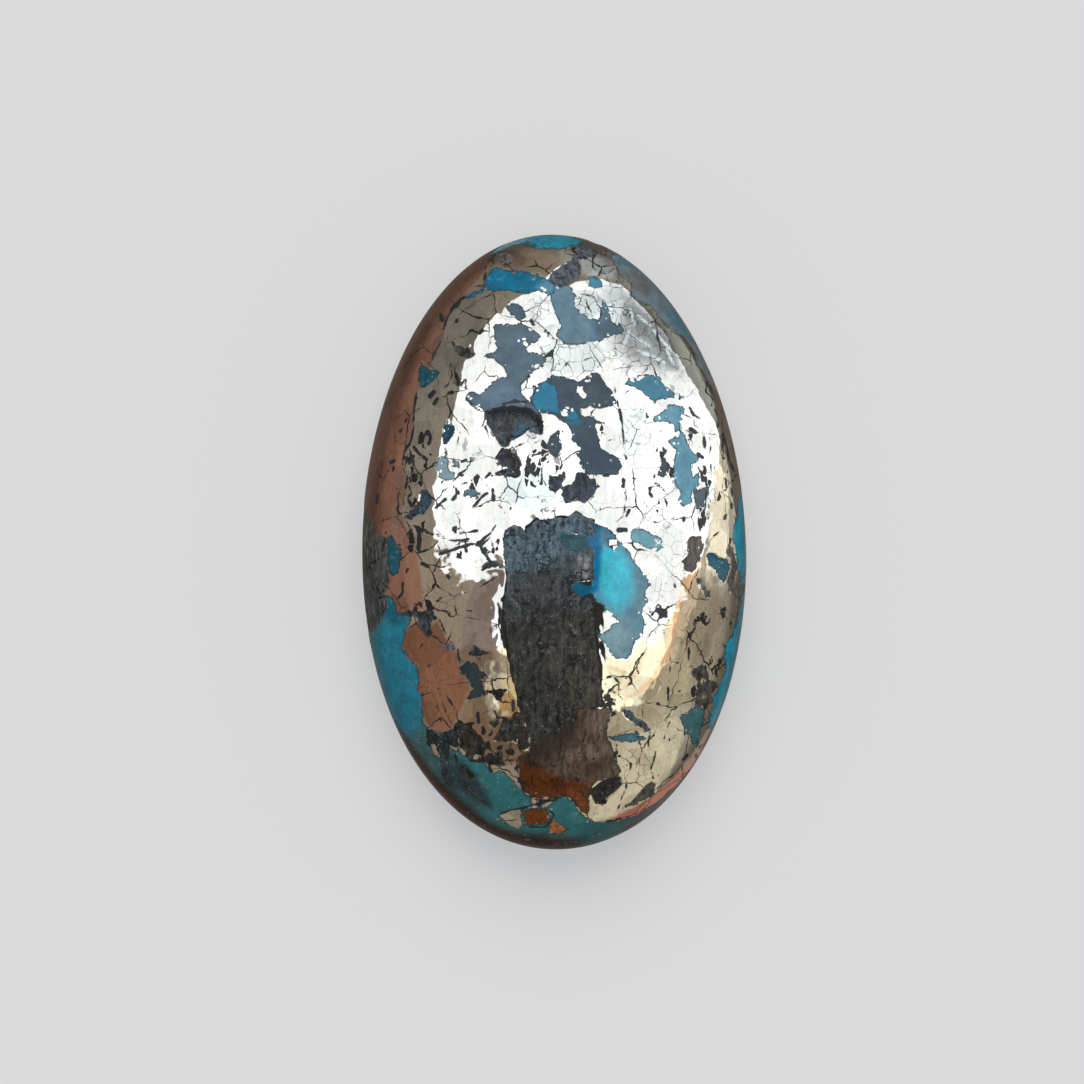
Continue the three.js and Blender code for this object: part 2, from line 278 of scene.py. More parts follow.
MATRIX_PATCHES = {
    "pit": ((0.015, 0.018, 0.018), [
        (-3.65, 6.65), (-2.9, 6.85), (-2.1, 6.9), (-1.3, 6.8), (-0.7, 6.5), (-0.55, 5.9),
        (-0.62, 5.45), (-0.9, 5.5), (-0.95, 5.85), (-1.4, 5.65), (-1.9, 5.3), (-2.2, 5.35),
        (-2.35, 4.8), (-2.9, 5.1), (-3.2, 5.6), (-3.5, 6.2)]),
    "below the pit": ((0.014, 0.014, 0.016), [
        (-2.6, 4.8), (-2.25, 4.7), (-1.9, 4.35), (-1.65, 4.0), (-1.8, 3.65), (-1.65, 3.4),
        (-2.0, 3.25), (-2.6, 3.4), (-3.2, 3.38), (-2.75, 3.6), (-2.5, 3.75), (-2.9, 3.9),
        (-3.0, 4.25), (-2.8, 4.5)]),
    "top right": ((0.032, 0.036, 0.042), [
        (-0.4, 13.5), (0.0, 14.0), (0.4, 14.3), (0.8, 14.5), (1.15, 14.8), (1.35, 14.3),
        (1.35, 13.9), (1.3, 13.6), (1.0, 13.4), (0.7, 13.2), (0.3, 13.1), (0.0, 13.25)]),
    "top knob": ((0.030, 0.032, 0.036), [
        (1.15, 15.0), (1.5, 15.25), (2.0, 15.25), (2.5, 15.1), (2.3, 14.9), (1.7, 14.6),
        (1.3, 14.55)]),
    "top blot": ((0.050, 0.042, 0.036), [
        (-2.9, 14.5), (-2.6, 14.9), (-2.3, 14.85), (-2.1, 14.5), (-2.4, 14.2), (-2.7, 14.2)]),
    "upper lens": ((0.020, 0.020, 0.020), [
        (-5.2, 10.1), (-4.75, 10.1), (-4.4, 9.8), (-4.0, 9.5), (-4.4, 9.35), (-4.9, 9.5),
        (-5.1, 9.8)]),
    "middle right": ((0.014, 0.017, 0.021), [
        (0.3, 2.8), (0.9, 2.9), (1.05, 3.3), (1.15, 3.55), (1.4, 3.6), (1.75, 3.3), (2.1, 3.2),
        (2.25, 2.8), (2.1, 2.45), (1.85, 2.2), (1.55, 1.95), (1.2, 2.15), (0.9, 2.0), (0.6, 2.0),
        (0.4, 2.3)]),
    "middle left": ((0.014, 0.017, 0.021), [
        (-0.25, 3.4), (0.1, 3.3), (0.5, 3.5), (0.55, 3.1), (0.4, 2.7), (0.1, 2.45), (-0.2, 2.6),
        (-0.3, 3.0)]),
    "left cluster": ((0.012, 0.022, 0.030), [
        (-6.8, 2.7), (-6.5, 2.7), (-6.3, 2.35), (-6.25, 2.0), (-6.6, 1.6), (-7.05, 1.3),
        (-7.5, 1.2), (-7.55, 1.4), (-7.25, 1.7), (-6.95, 2.0), (-6.9, 2.4)]),
    "left fork": ((0.014, 0.014, 0.014), [
        (-7.7, 4.4), (-7.4, 4.35), (-7.1, 4.4), (-7.2, 4.05), (-7.4, 3.9), (-7.55, 4.1)]),
    # Painted reflection, not rock: this dark column is where the pyrite would mirror the dark card
    # in front, painted on as dark matrix
    "dark reflection column": ((0.0135, 0.0130, 0.0102), [
        (-2.5, 0.6), (-2.0, 0.85), (-1.5, 0.65), (-0.9, 1.15), (-0.3, 0.9), (0.1, 1.25),
        (0.7, 1.2), (1.1, 1.6), (1.6, 1.25), (2.0, 1.1), (2.1, 0.6), (1.95, -0.2), (2.0, -1.9),
        (0.9, -2.1), (1.1, -2.6), (1.95, -2.8), (2.05, -4.5), (2.2, -5.5), (2.35, -7.0),
        (2.45, -8.4), (1.7, -8.5), (0.95, -8.55), (0.8, -9.2), (0.2, -9.7), (-0.5, -9.9),
        (-1.15, -10.3), (-1.45, -9.4), (-1.8, -8.3), (-2.0, -7.3), (-2.2, -6.3), (-2.35, -5.2),
        (-2.5, -4.4), (-2.55, -3.2), (-2.4, -1.8), (-2.5, -1.0), (-2.6, -0.2)]),
    # A small chip whose black is painted shadow
    "black point": ((0.004, 0.004, 0.004), [
        (-0.4, -8.35), (-0.1, -8.7), (0.4, -9.15), (0.4, -9.3), (0.0, -9.4), (-0.15, -9.8),
        (-0.3, -9.4), (-0.25, -8.9)]),
    "crescent": ((0.010, 0.011, 0.012), [
        (-3.75, -1.4), (-3.55, -1.1), (-3.25, -1.0), (-2.9, -1.02), (-2.4, -1.35), (-2.9, -1.28),
        (-3.4, -1.33), (-3.65, -1.5)]),
    "left edge": ((0.026, 0.028, 0.024), [
        (-10.8, 3.2), (-9.8, 2.6), (-9.6, 1.4), (-9.1, 0.5), (-8.6, 0.2), (-8.6, -1.0),
        (-8.5, -1.9), (-8.7, -2.6), (-8.75, -3.6), (-9.1, -4.3), (-9.6, -4.9), (-10.8, -5.2)]),
    "left knot": ((0.014, 0.018, 0.020), [
        (-7.9, -3.7), (-7.4, -3.5), (-6.77, -3.47), (-6.13, -3.5), (-6.2, -4.0), (-6.3, -4.3),
        (-6.3, -4.9), (-6.6, -4.9), (-6.75, -4.3), (-7.0, -3.9), (-7.4, -3.8)]),
    "lower fleck": ((0.030, 0.038, 0.044), [
        (-5.87, -5.15), (-5.5, -5.12), (-5.05, -5.2), (-4.95, -5.45), (-5.4, -5.45)]),
    "star": ((0.008, 0.008, 0.008), [
        (-4.1, -5.1), (-3.95, -5.35), (-3.6, -5.55), (-3.1, -5.7), (-3.7, -5.75), (-4.4, -5.7),
        (-4.15, -5.45)]),
    "gold fleck": ((0.006, 0.006, 0.006), [
        (-3.5, -7.6), (-3.1, -7.65), (-2.85, -7.45), (-2.4, -7.55), (-2.6, -7.8), (-2.8, -8.1),
        (-3.05, -7.95)]),
    "lower left": ((0.010, 0.009, 0.006), [
        (-5.2, -9.45), (-5.05, -9.3), (-4.85, -9.0), (-4.6, -9.25), (-4.35, -9.15), (-4.1, -9.25),
        (-4.2, -9.5), (-4.0, -9.7), (-3.7, -10.0), (-3.55, -10.2), (-3.5, -10.6), (-3.6, -10.95),
        (-3.9, -11.05), (-4.3, -11.1), (-4.55, -10.9), (-4.85, -10.5), (-4.95, -10.1),
        (-5.1, -9.7)]),
    "dim corner": ((0.008, 0.013, 0.016), [
        (-6.5, -9.5), (-6.0, -9.7), (-5.5, -9.75), (-5.15, -9.5), (-4.9, -10.2), (-4.85, -10.8),
        (-5.3, -10.45), (-5.5, -11.0), (-5.6, -11.3), (-5.9, -11.1), (-6.2, -10.6), (-6.55, -10.4)]),
    "lower middle": ((0.012, 0.011, 0.009), [
        (-3.1, -10.1), (-2.85, -9.75), (-2.65, -9.3), (-2.5, -9.0), (-2.0, -9.1), (-2.05, -8.75),
        (-1.8, -8.85), (-1.5, -8.7), (-1.35, -8.85), (-1.45, -9.2), (-1.6, -9.35), (-1.4, -9.6),
        (-1.25, -9.8), (-1.3, -10.2), (-1.15, -10.4), (-1.4, -10.62), (-1.7, -10.55),
        (-1.8, -10.2), (-2.2, -10.1), (-2.6, -10.2), (-2.9, -10.2)]),
    "lower bead": ((0.010, 0.015, 0.012), [
        (-3.35, -9.15), (-3.0, -9.1), (-2.8, -9.25), (-3.05, -9.5), (-3.35, -9.4)]),
    "lower chain": ((0.009, 0.009, 0.008), [
        (-2.9, -10.7), (-2.65, -10.65), (-2.6, -11.2), (-2.35, -11.4), (-2.6, -11.5),
        (-3.0, -11.4), (-3.1, -11.75), (-3.3, -11.8), (-3.4, -11.3), (-4.3, -11.25),
        (-4.5, -11.05), (-3.6, -10.9), (-3.3, -10.75), (-3.25, -10.55), (-3.1, -10.8)]),
    "lower knot": ((0.008, 0.008, 0.007), [
        (-2.5, -10.6), (-2.1, -10.5), (-1.95, -10.7), (-2.1, -10.9), (-2.45, -10.75)]),
    "left shadow": ((0.008, 0.013, 0.013), [
        (-5.85, -11.3), (-5.5, -11.6), (-5.55, -11.9), (-5.35, -12.3), (-5.1, -12.8),
        (-5.45, -12.7), (-5.75, -12.3), (-5.8, -11.8)]),
    "lower shadow": ((0.010, 0.014, 0.014), [
        (-4.9, -12.1), (-4.3, -12.4), (-3.9, -12.9), (-4.1, -13.0), (-4.6, -12.7), (-4.95, -12.3)]),
    "right cluster": ((0.034, 0.032, 0.026), [
        (8.85, -0.5), (9.0, -0.1), (9.3, -0.6), (9.5, -1.5), (9.35, -2.0), (9.6, -2.4),
        (9.6, -2.9), (9.3, -2.9), (9.0, -2.5), (8.9, -2.0), (9.1, -1.5), (9.15, -1.0)]),
    "right hook": ((0.030, 0.028, 0.026), [
        (7.35, -1.8), (7.6, -2.0), (7.9, -2.55), (8.1, -2.45), (8.0, -2.85), (7.8, -2.9),
        (7.6, -2.5), (7.35, -2.1)]),
    "right speck": ((0.004, 0.004, 0.004), [
        (8.55, -3.35), (8.85, -3.3), (8.85, -3.85), (8.65, -3.95)]),
    "right lace": ((0.024, 0.022, 0.018), [
        (7.0, -6.3), (7.3, -6.5), (7.6, -6.2), (7.9, -6.7), (8.0, -7.1), (8.3, -7.2), (8.5, -7.5),
        (8.1, -7.8), (8.2, -8.3), (7.7, -8.4), (7.2, -8.3), (7.3, -7.6), (7.4, -7.2), (7.1, -6.9)]),
    "lower slot": ((0.026, 0.036, 0.044), [
        (3.4, -8.5), (3.8, -8.5), (4.0, -8.65), (4.1, -8.95), (4.4, -9.0), (4.7, -9.2),
        (4.85, -9.55), (4.6, -9.6), (4.3, -9.45), (4.0, -9.2), (3.7, -8.95)]),
    "lower wedge": ((0.010, 0.010, 0.010), [(3.2, -10.3), (3.4, -10.95), (3.05, -10.9)]),
    "foot pit": ((0.010, 0.009, 0.008), [
        (1.9, -13.04), (1.96, -12.66), (2.34, -12.35), (2.9, -12.1), (3.4, -12.04), (3.47, -12.4),
        (3.1, -12.8), (2.7, -13.04), (2.65, -13.4), (2.34, -13.54), (2.0, -13.35)]),
    "foot pit right": ((0.034, 0.030, 0.024), [
        (3.6, -13.6), (4.0, -13.4), (4.4, -12.9), (4.7, -12.5), (5.0, -12.3), (5.25, -12.5),
        (5.2, -12.9), (4.9, -13.1), (4.4, -13.4), (4.0, -13.65)]),
    "foot streak": ((0.010, 0.012, 0.011), [
        (-4.9, -11.55), (-4.6, -11.4), (-4.35, -11.6), (-4.1, -12.05), (-4.4, -12.15),
        (-4.85, -11.9)]),
}
# Turquoise that lies over the matrix, and the painted warm reflection at the foot that lies over the
# turquoise
OVER_MATRIX = ("pool", "arm of the lake")
OVER_TURQUOISE = ("brown foot", "orange foot", "orange foot bead")
# Pyrite inside the patches
PYRITE_ISLANDS = {
    "upper right": [(1.15, 12.6), (1.3, 12.8), (1.9, 12.8), (2.35, 12.4), (2.35, 11.8),
                    (2.0, 11.45), (1.4, 11.7), (1.15, 12.1)],
    "shoulder disc": [(1.95, 14.6), (2.3, 14.95), (2.8, 14.95), (3.15, 14.6), (3.15, 14.1),
                      (2.8, 13.75), (2.3, 13.75), (1.95, 14.1)],
    "upper tooth": [(1.2, 7.95), (1.45, 7.9), (1.65, 7.5), (1.5, 7.35), (1.25, 7.45)],
    "upper bead": [(0.4, 6.65), (0.75, 6.6), (0.7, 6.4), (0.45, 6.4)],
    "upper beads": [(-1.55, 10.2), (-1.4, 10.2), (-1.35, 10.0), (-1.15, 9.9), (-1.1, 9.7),
                    (-1.3, 9.65), (-1.45, 9.9)],
    "beside the pit": [(-1.65, 8.0), (-1.3, 7.9), (-1.2, 7.45), (-1.35, 7.3), (-1.6, 7.5)],
    "river tooth": [(5.55, 6.05), (5.9, 6.1), (6.0, 5.6), (5.95, 5.25), (5.65, 5.25), (5.7, 5.6)],
    "river bead": [(6.15, 7.55), (6.4, 7.5), (6.4, 7.2), (6.2, 7.2)],
    "river fleck": [(6.2, 5.6), (6.35, 5.55), (6.3, 5.3), (6.2, 5.3)],
    "river grains": [(7.0, 3.9), (7.2, 3.95), (7.25, 3.5), (7.1, 3.3), (7.0, 3.5)],
    "pale bite": [(-5.4, 4.0), (-5.2, 3.9), (-5.1, 3.7), (-5.35, 3.65)],
    "below the pit": [(-2.8, 3.9), (-2.2, 3.86), (-2.2, 3.72), (-2.7, 3.72)],
    "lake shore": [(2.75, 0.1), (3.1, 0.15), (3.2, -0.2), (3.0, -0.38), (2.75, -0.22)],
    "lake cape": [(1.8, -2.8), (2.3, -3.1), (2.6, -3.4), (3.07, -3.8), (3.2, -4.05), (2.95, -4.2),
                  (2.85, -4.45), (2.55, -4.55), (2.3, -4.68), (2.1, -4.3), (2.0, -3.9),
                  (2.1, -3.5), (1.9, -3.1)],
    "lake foot": [(2.4, -5.6), (2.8, -5.6), (2.95, -5.85), (2.5, -6.0)],
    "foot cream": [(-2.75, -14.05), (-2.4, -13.8), (-1.8, -13.66), (-1.7, -14.2), (-1.6, -14.55),
                   (-1.9, -14.7), (-2.4, -14.4)],
    "lower cream": [(-2.5, -10.85), (-2.15, -10.98), (-1.95, -10.8), (-1.85, -11.2),
                    (-1.78, -11.7), (-1.85, -12.2), (-1.72, -12.5), (-2.2, -12.1),
                    (-2.5, -11.75), (-2.35, -11.4), (-2.55, -11.1)],
    "chain bead": [(-4.15, -11.0), (-3.85, -10.98), (-3.85, -11.12), (-4.15, -11.15)],
    "chain bead low": [(-3.25, -11.45), (-3.05, -11.4), (-3.0, -11.6), (-3.2, -11.65)],
    "dim corner": [(-6.35, -10.4), (-6.2, -10.45), (-5.95, -11.0), (-6.1, -11.0)],
    "lace grain": [(7.5, -6.9), (7.8, -7.0), (7.75, -7.3), (7.5, -7.3)],
    "lace grain low": [(7.6, -7.7), (7.9, -7.8), (7.85, -8.05), (7.6, -8.0)],
    "knot bead": [(-7.2, -3.75), (-6.95, -3.75), (-6.9, -4.1), (-7.15, -4.15)],
}
# Dark veins and slits, and a painted shadow line along the pit's upper edge: the points they pass
# through, and half their width
VEINS = [
    ([(-3.0, 14.9), (-3.5, 14.2), (-3.6, 13.5)], 0.05),
    ([(-4.6, 12.6), (-5.1, 12.2), (-5.5, 11.5), (-5.7, 10.9)], 0.06),
    ([(-5.8, 10.3), (-6.2, 9.5), (-6.4, 9.0)], 0.03),
    ([(-7.05, 7.7), (-7.15, 7.0), (-7.2, 6.4), (-7.2, 5.8), (-7.3, 5.2), (-7.5, 4.8)], 0.05),
    ([(-7.5, 4.9), (-7.7, 4.5), (-7.75, 4.0), (-7.5, 3.3), (-7.6, 2.6), (-7.7, 1.9)], 0.045),
    ([(-7.15, 4.85), (-6.9, 4.5), (-6.5, 4.2)], 0.09),
    ([(-6.7, 5.3), (-6.45, 5.65), (-6.3, 5.3), (-6.4, 5.0)], 0.08),
    ([(-6.1, 7.05), (-5.95, 7.3)], 0.1),
    ([(-6.3, 7.45), (-6.15, 7.65)], 0.12),
    ([(-7.9, 5.65), (-7.8, 5.8)], 0.09),
    ([(-7.65, 6.15), (-7.55, 6.3)], 0.08),
    ([(-8.2, 5.5), (-8.1, 5.1)], 0.05),
    ([(-8.35, 4.05), (-8.2, 4.15)], 0.11),
    ([(-8.8, 3.1), (-8.6, 3.5), (-8.4, 3.85)], 0.03),
    ([(-9.05, 2.4), (-9.1, 2.0)], 0.06),
    ([(-6.7, 9.5), (-6.4, 9.1), (-6.2, 8.9)], 0.06),
    ([(-5.3, 9.1), (-5.2, 8.5), (-5.4, 8.0), (-5.7, 7.8)], 0.04),
    ([(-6.1, 1.75), (-5.85, 2.0), (-5.6, 2.2)], 0.07),
    ([(-5.2, 2.2), (-5.0, 2.5), (-5.05, 2.8)], 0.07),
    ([(-4.25, 1.75), (-3.9, 2.1), (-3.7, 2.35), (-3.4, 2.5)], 0.06),
    ([(-3.15, 2.7), (-3.1, 2.2)], 0.12),
    ([(-2.95, 2.35), (-2.6, 2.2), (-2.45, 2.0)], 0.05),
    ([(-2.8, 1.85), (-2.7, 1.75)], 0.07),
    ([(-3.5, 3.3), (-3.3, 3.5)], 0.08),
    ([(-4.8, 2.95), (-4.5, 3.05)], 0.06),
    ([(-2.2, 4.9), (-1.85, 4.45), (-1.6, 4.15)], 0.06),
    ([(-1.95, 4.9), (-1.75, 4.6)], 0.04),
    ([(-1.3, 4.0), (-1.15, 3.6), (-0.95, 3.35)], 0.07),
    ([(-0.62, 3.75), (-0.6, 3.3), (-0.65, 2.95)], 0.07),
    ([(-1.1, 4.35), (-0.7, 4.5), (-0.35, 4.55)], 0.05),
    ([(-1.0, 5.0), (-0.7, 5.15)], 0.04),
    ([(-4.75, 4.1), (-4.5, 4.2)], 0.06),
    ([(-4.9, 3.5), (-4.7, 3.45)], 0.06),
    ([(-5.1, 4.4), (-4.95, 5.0), (-4.8, 5.6)], 0.03),
    ([(-3.6, 6.0), (-3.4, 5.6), (-3.35, 5.25)], 0.04),
    # Painted shadow along the pit's upper edge
    ([(-4.4, 7.2), (-4.0, 6.8), (-3.6, 6.6), (-2.9, 6.75), (-2.1, 6.8), (-1.2, 6.7)], 0.06),
    ([(-2.6, 7.0), (-2.0, 7.15), (-1.4, 7.1)], 0.06),
    ([(-6.55, 0.5), (-6.13, 0.33), (-5.7, 0.2), (-5.2, 0.07), (-4.75, 0.07), (-4.4, 0.15)], 0.06),
    ([(-4.9, 0.45), (-4.4, 0.5), (-3.9, 0.6)], 0.05),
    ([(-4.0, -0.15), (-3.6, 0.15), (-3.3, 0.45), (-3.0, 0.8)], 0.08),
    ([(-3.7, -0.15), (-3.35, 0.15), (-3.15, 0.55)], 0.06),
    ([(-5.9, -0.62), (-5.4, -0.48), (-4.87, -0.28), (-4.45, -0.15), (-4.1, -0.1)], 0.07),
    ([(-7.0, -0.55), (-6.6, -0.45), (-6.3, -0.3), (-6.0, 0.0)], 0.05),
    ([(-4.6, 0.0), (-4.5, -0.5)], 0.06),
    ([(-3.9, 0.0), (-3.7, -0.4), (-3.4, -0.8), (-3.2, -1.05)], 0.08),
    ([(-3.55, -0.3), (-3.3, -0.55)], 0.06),
    ([(-3.2, 0.2), (-3.15, -0.2)], 0.04),
    ([(-6.97, 0.75), (-6.92, 0.2), (-6.97, -0.4)], 0.1),
    ([(-7.3, 0.9), (-6.97, 0.75), (-6.6, 0.6)], 0.06),
    ([(-7.8, 1.3), (-7.6, 1.1), (-7.3, 0.6), (-7.5, 0.4)], 0.05),
    ([(-7.3, 1.8), (-7.5, 2.3)], 0.07),
    ([(-6.75, -1.1), (-6.5, -1.25)], 0.08),
    ([(-6.5, -1.2), (-6.1, -1.2), (-5.8, -1.3), (-5.4, -1.2), (-5.0, -1.15)], 0.03),
    ([(-5.45, -1.72), (-5.35, -1.85)], 0.09),
    ([(-7.6, -1.6), (-7.5, -1.4)], 0.05),
    ([(-7.75, -2.1), (-7.75, -2.6), (-8.0, -2.9)], 0.04),
    ([(-6.7, -2.6), (-6.75, -2.5)], 0.05),
    ([(-6.3, -3.5), (-6.05, -3.1), (-5.8, -2.85), (-5.5, -2.75), (-5.0, -2.75)], 0.035),
    ([(-6.13, -3.95), (-5.87, -3.85), (-5.55, -4.5), (-5.3, -4.95), (-4.87, -5.4), (-4.8, -6.0),
      (-4.65, -6.5)], 0.05),
    ([(-4.45, -3.45), (-4.15, -3.5)], 0.05),
    ([(-4.0, -5.8), (-3.7, -6.0), (-3.7, -6.3)], 0.04),
    ([(-3.6, -6.3), (-3.6, -6.9), (-3.3, -7.35)], 0.03),
    ([(-6.3, -6.0), (-6.4, -6.5)], 0.03),
    ([(-6.7, -5.2), (-6.85, -5.5)], 0.04),
    ([(-5.9, -7.4), (-5.8, -7.8), (-5.6, -8.4), (-5.4, -9.0), (-5.2, -9.3)], 0.04),
    ([(-5.9, -7.4), (-5.4, -7.9), (-5.0, -8.6), (-4.9, -9.1)], 0.04),
    ([(-3.9, -8.7), (-3.85, -9.2)], 0.06),
    ([(-2.1, -8.1), (-2.1, -8.6)], 0.06),
    ([(-3.4, -8.3), (-3.0, -8.7), (-2.9, -9.0), (-2.5, -8.95)], 0.04),
    ([(-1.9, -10.9), (-1.85, -11.5), (-1.75, -12.2), (-1.5, -12.8), (-1.1, -13.1), (-0.6, -13.2),
      (-0.1, -13.15)], 0.04),
    ([(-2.25, -11.2), (-2.2, -11.3)], 0.08),
    ([(-2.0, -11.5), (-1.95, -11.55)], 0.05),
    ([(-3.7, -13.3), (-3.2, -13.65)], 0.07),
    ([(-5.4, -10.5), (-5.45, -11.0), (-5.6, -11.35)], 0.04),
    ([(-5.1, -10.9), (-4.95, -11.5), (-4.6, -12.2)], 0.03),
    ([(-4.3, -12.1), (-3.9, -12.6), (-3.7, -13.0), (-3.3, -13.5)], 0.03),
    ([(-2.8, -14.0), (-2.3, -13.72), (-1.6, -13.6), (-1.1, -13.45), (-0.4, -13.5), (0.0, -14.0),
      (-0.2, -14.4), (-0.5, -14.65), (-1.3, -14.6)], 0.04),
    ([(-1.1, -13.45), (-0.5, -13.3), (0.1, -13.2)], 0.05),
    ([(0.1, -13.1), (0.6, -12.95), (1.1, -13.3), (1.4, -13.9), (1.8, -14.25), (2.4, -14.4),
      (3.1, -14.35), (3.9, -14.15)], 0.04),
    ([(3.08, 8.0), (3.2, 7.5), (3.3, 7.0), (3.5, 6.1), (3.56, 5.45), (3.6, 4.8), (3.7, 4.3)], 0.04),
    ([(3.6, 4.5), (3.7, 4.3)], 0.08),
    ([(3.7, 4.2), (3.75, 3.6), (3.6, 3.0), (3.65, 2.2), (3.5, 1.3), (3.1, 1.0)], 0.03),
    ([(3.55, 3.2), (3.5, 2.85)], 0.09),
    ([(3.25, 0.6), (3.6, 0.62)], 0.12),
    ([(3.65, 1.3), (3.8, 1.6)], 0.07),
    ([(2.8, 5.2), (3.05, 5.3), (3.3, 5.1), (3.2, 4.85), (3.0, 4.9)], 0.05),
    ([(2.4, 5.7), (2.6, 5.5)], 0.05),
    ([(2.5, 3.4), (2.75, 3.4)], 0.08),
    ([(4.0, 3.25), (4.2, 3.2)], 0.07),
    ([(4.7, 6.65), (4.8, 6.4)], 0.07),
    ([(4.75, 6.4), (4.5, 5.7), (4.3, 5.2), (4.3, 4.6)], 0.025),
    ([(3.5, 6.8), (4.1, 6.75), (4.7, 6.85)], 0.02),
    ([(3.6, 5.3), (3.8, 5.1), (4.0, 4.9)], 0.025),
    ([(5.0, 3.8), (5.1, 3.3)], 0.04),
    ([(5.1, 3.0), (5.3, 2.9), (5.6, 2.6)], 0.05),
    ([(4.85, 2.45), (4.95, 2.35)], 0.06),
    ([(4.6, 2.0), (4.7, 1.75)], 0.04),
    ([(6.6, 1.25), (6.65, 1.1)], 0.09),
    ([(2.3, 1.7), (2.35, 1.6)], 0.06),
    ([(6.9, 6.9), (7.1, 6.5), (7.45, 6.3)], 0.06),
    ([(6.95, 5.75), (7.2, 5.6)], 0.1),
    ([(7.6, 6.0), (7.6, 5.4), (7.65, 4.8)], 0.025),
    ([(7.3, 4.5), (7.6, 4.3)], 0.07),
    ([(7.5, 3.6), (7.6, 3.1)], 0.06),
    ([(7.4, 3.6), (7.35, 3.9)], 0.05),
    ([(7.8, 2.6), (7.75, 1.9), (7.65, 1.3), (7.55, 0.7)], 0.07),
    ([(8.0, 2.8), (8.1, 2.4), (7.95, 1.9), (7.9, 1.2)], 0.045),
    ([(7.35, 1.6), (7.4, 1.1), (7.5, 0.6)], 0.04),
    ([(8.2, 0.3), (8.4, 0.45), (8.6, 0.6)], 0.05),
    ([(8.75, 1.2), (8.85, 1.4)], 0.08),
    ([(8.95, 6.3), (9.0, 5.6), (9.1, 5.0)], 0.05),
    ([(8.7, 5.6), (8.9, 4.9), (9.0, 4.2), (9.2, 3.8)], 0.05),
    ([(7.9, 8.2), (7.8, 7.7), (8.2, 7.4), (8.1, 7.0)], 0.06),
    ([(8.3, 6.8), (8.5, 6.3), (8.4, 5.9)], 0.04),
    ([(4.0, -0.8), (4.3, -0.6), (4.6, -0.5)], 0.03),
    ([(4.3, -1.0), (4.8, -1.6), (5.1, -1.9)], 0.03),
    ([(6.2, -2.1), (6.25, -2.3)], 0.06),
    ([(6.6, -1.4), (6.5, -1.8)], 0.04),
    ([(5.3, -3.7), (5.35, -3.9)], 0.06),
    ([(5.1, -4.5), (5.4, -4.9), (5.8, -5.5)], 0.03),
    ([(9.1, -4.15), (9.15, -4.3)], 0.06),
    ([(8.7, -5.2), (8.8, -5.4)], 0.06),
    ([(6.9, -5.4), (6.85, -6.0)], 0.04),
    ([(7.6, -5.5), (7.5, -5.8)], 0.03),
    ([(6.0, -6.1), (6.3, -6.15), (6.5, -6.15)], 0.04),
    ([(5.9, -5.5), (5.95, -6.2), (5.8, -7.0), (5.8, -7.9)], 0.025),
    ([(5.8, -7.7), (5.8, -8.05)], 0.05),
    ([(5.25, -8.2), (5.35, -8.3)], 0.06),
    ([(4.2, -6.3), (4.3, -6.7)], 0.04),
    ([(2.7, -6.9), (2.9, -6.85)], 0.06),
    ([(3.3, -7.3), (3.3, -7.8), (3.6, -8.1), (3.6, -8.4)], 0.03),
    ([(5.9, -9.1), (5.7, -9.6), (5.6, -10.0)], 0.04),
    ([(4.9, -9.6), (4.8, -10.2), (4.8, -11.0)], 0.035),
    ([(5.2, -10.7), (5.1, -11.1), (4.95, -11.6), (5.1, -12.1)], 0.045),
    ([(3.3, -10.95), (3.7, -11.1), (3.95, -11.4), (3.8, -11.9), (3.6, -12.1)], 0.04),
    ([(4.6, -10.3), (4.4, -10.9), (4.2, -11.5)], 0.03),
    ([(3.7, -12.1), (3.7, -12.6), (3.5, -13.1), (3.3, -13.7)], 0.03),
    ([(6.65, -11.15), (6.85, -10.95)], 0.08),
    ([(7.2, -10.5), (7.15, -11.0)], 0.05),
    ([(1.4, -12.75), (1.5, -13.0)], 0.06),
    ([(1.1, -12.1), (1.25, -12.25)], 0.05),
    ([(1.55, -11.1), (1.6, -11.3)], 0.05),
    ([(2.0, -11.1), (2.1, -11.1)], 0.04),
    ([(1.25, -10.8), (1.3, -10.8)], 0.05),
    ([(0.9, -8.5), (0.9, -9.4), (0.85, -10.0)], 0.04),
    ([(1.6, -8.8), (1.65, -9.5), (1.5, -10.2)], 0.02),
    ([(0.1, -10.6), (0.6, -10.9), (1.3, -11.0), (1.9, -11.4)], 0.015),
    ([(2.4, -9.6), (2.2, -10.2), (2.3, -10.8)], 0.015),
    ([(-0.6, -10.8), (-0.3, -11.3), (0.3, -11.6)], 0.02),
    ([(2.0, 14.6), (2.3, 14.95), (2.8, 14.95), (3.12, 14.6), (3.12, 14.1), (2.8, 13.78),
      (2.3, 13.78), (1.98, 14.1), (2.0, 14.6)], 0.025),
    ([(0.9, 8.2), (0.6, 9.0), (0.9, 9.6)], 0.01),
    ([(2.1, 8.8), (2.6, 9.3), (3.3, 9.6)], 0.03),
    ([(4.4, 6.3), (4.9, 5.9), (5.5, 5.9)], 0.01),
    ([(4.2, 2.6), (4.6, 2.9), (5.2, 2.8)], 0.015),
    ([(5.6, 0.9), (6.2, 1.3), (6.9, 1.2)], 0.02),
    ([(4.9, -1.0), (5.6, -1.2), (6.1, -0.9)], 0.01),
    ([(5.4, -2.4), (5.7, -3.2), (5.5, -4.0)], 0.01),
    ([(1.6, 12.4), (1.75, 12.0), (1.9, 11.75)], 0.06),
    ([(-1.2, 11.3), (-1.05, 11.1)], 0.1),
    ([(-5.85, 11.7), (-5.75, 11.4)], 0.12),
    ([(-5.0, 11.3), (-5.0, 11.35)], 0.1),
    ([(-5.0, 12.1), (-4.95, 12.15)], 0.09),
]


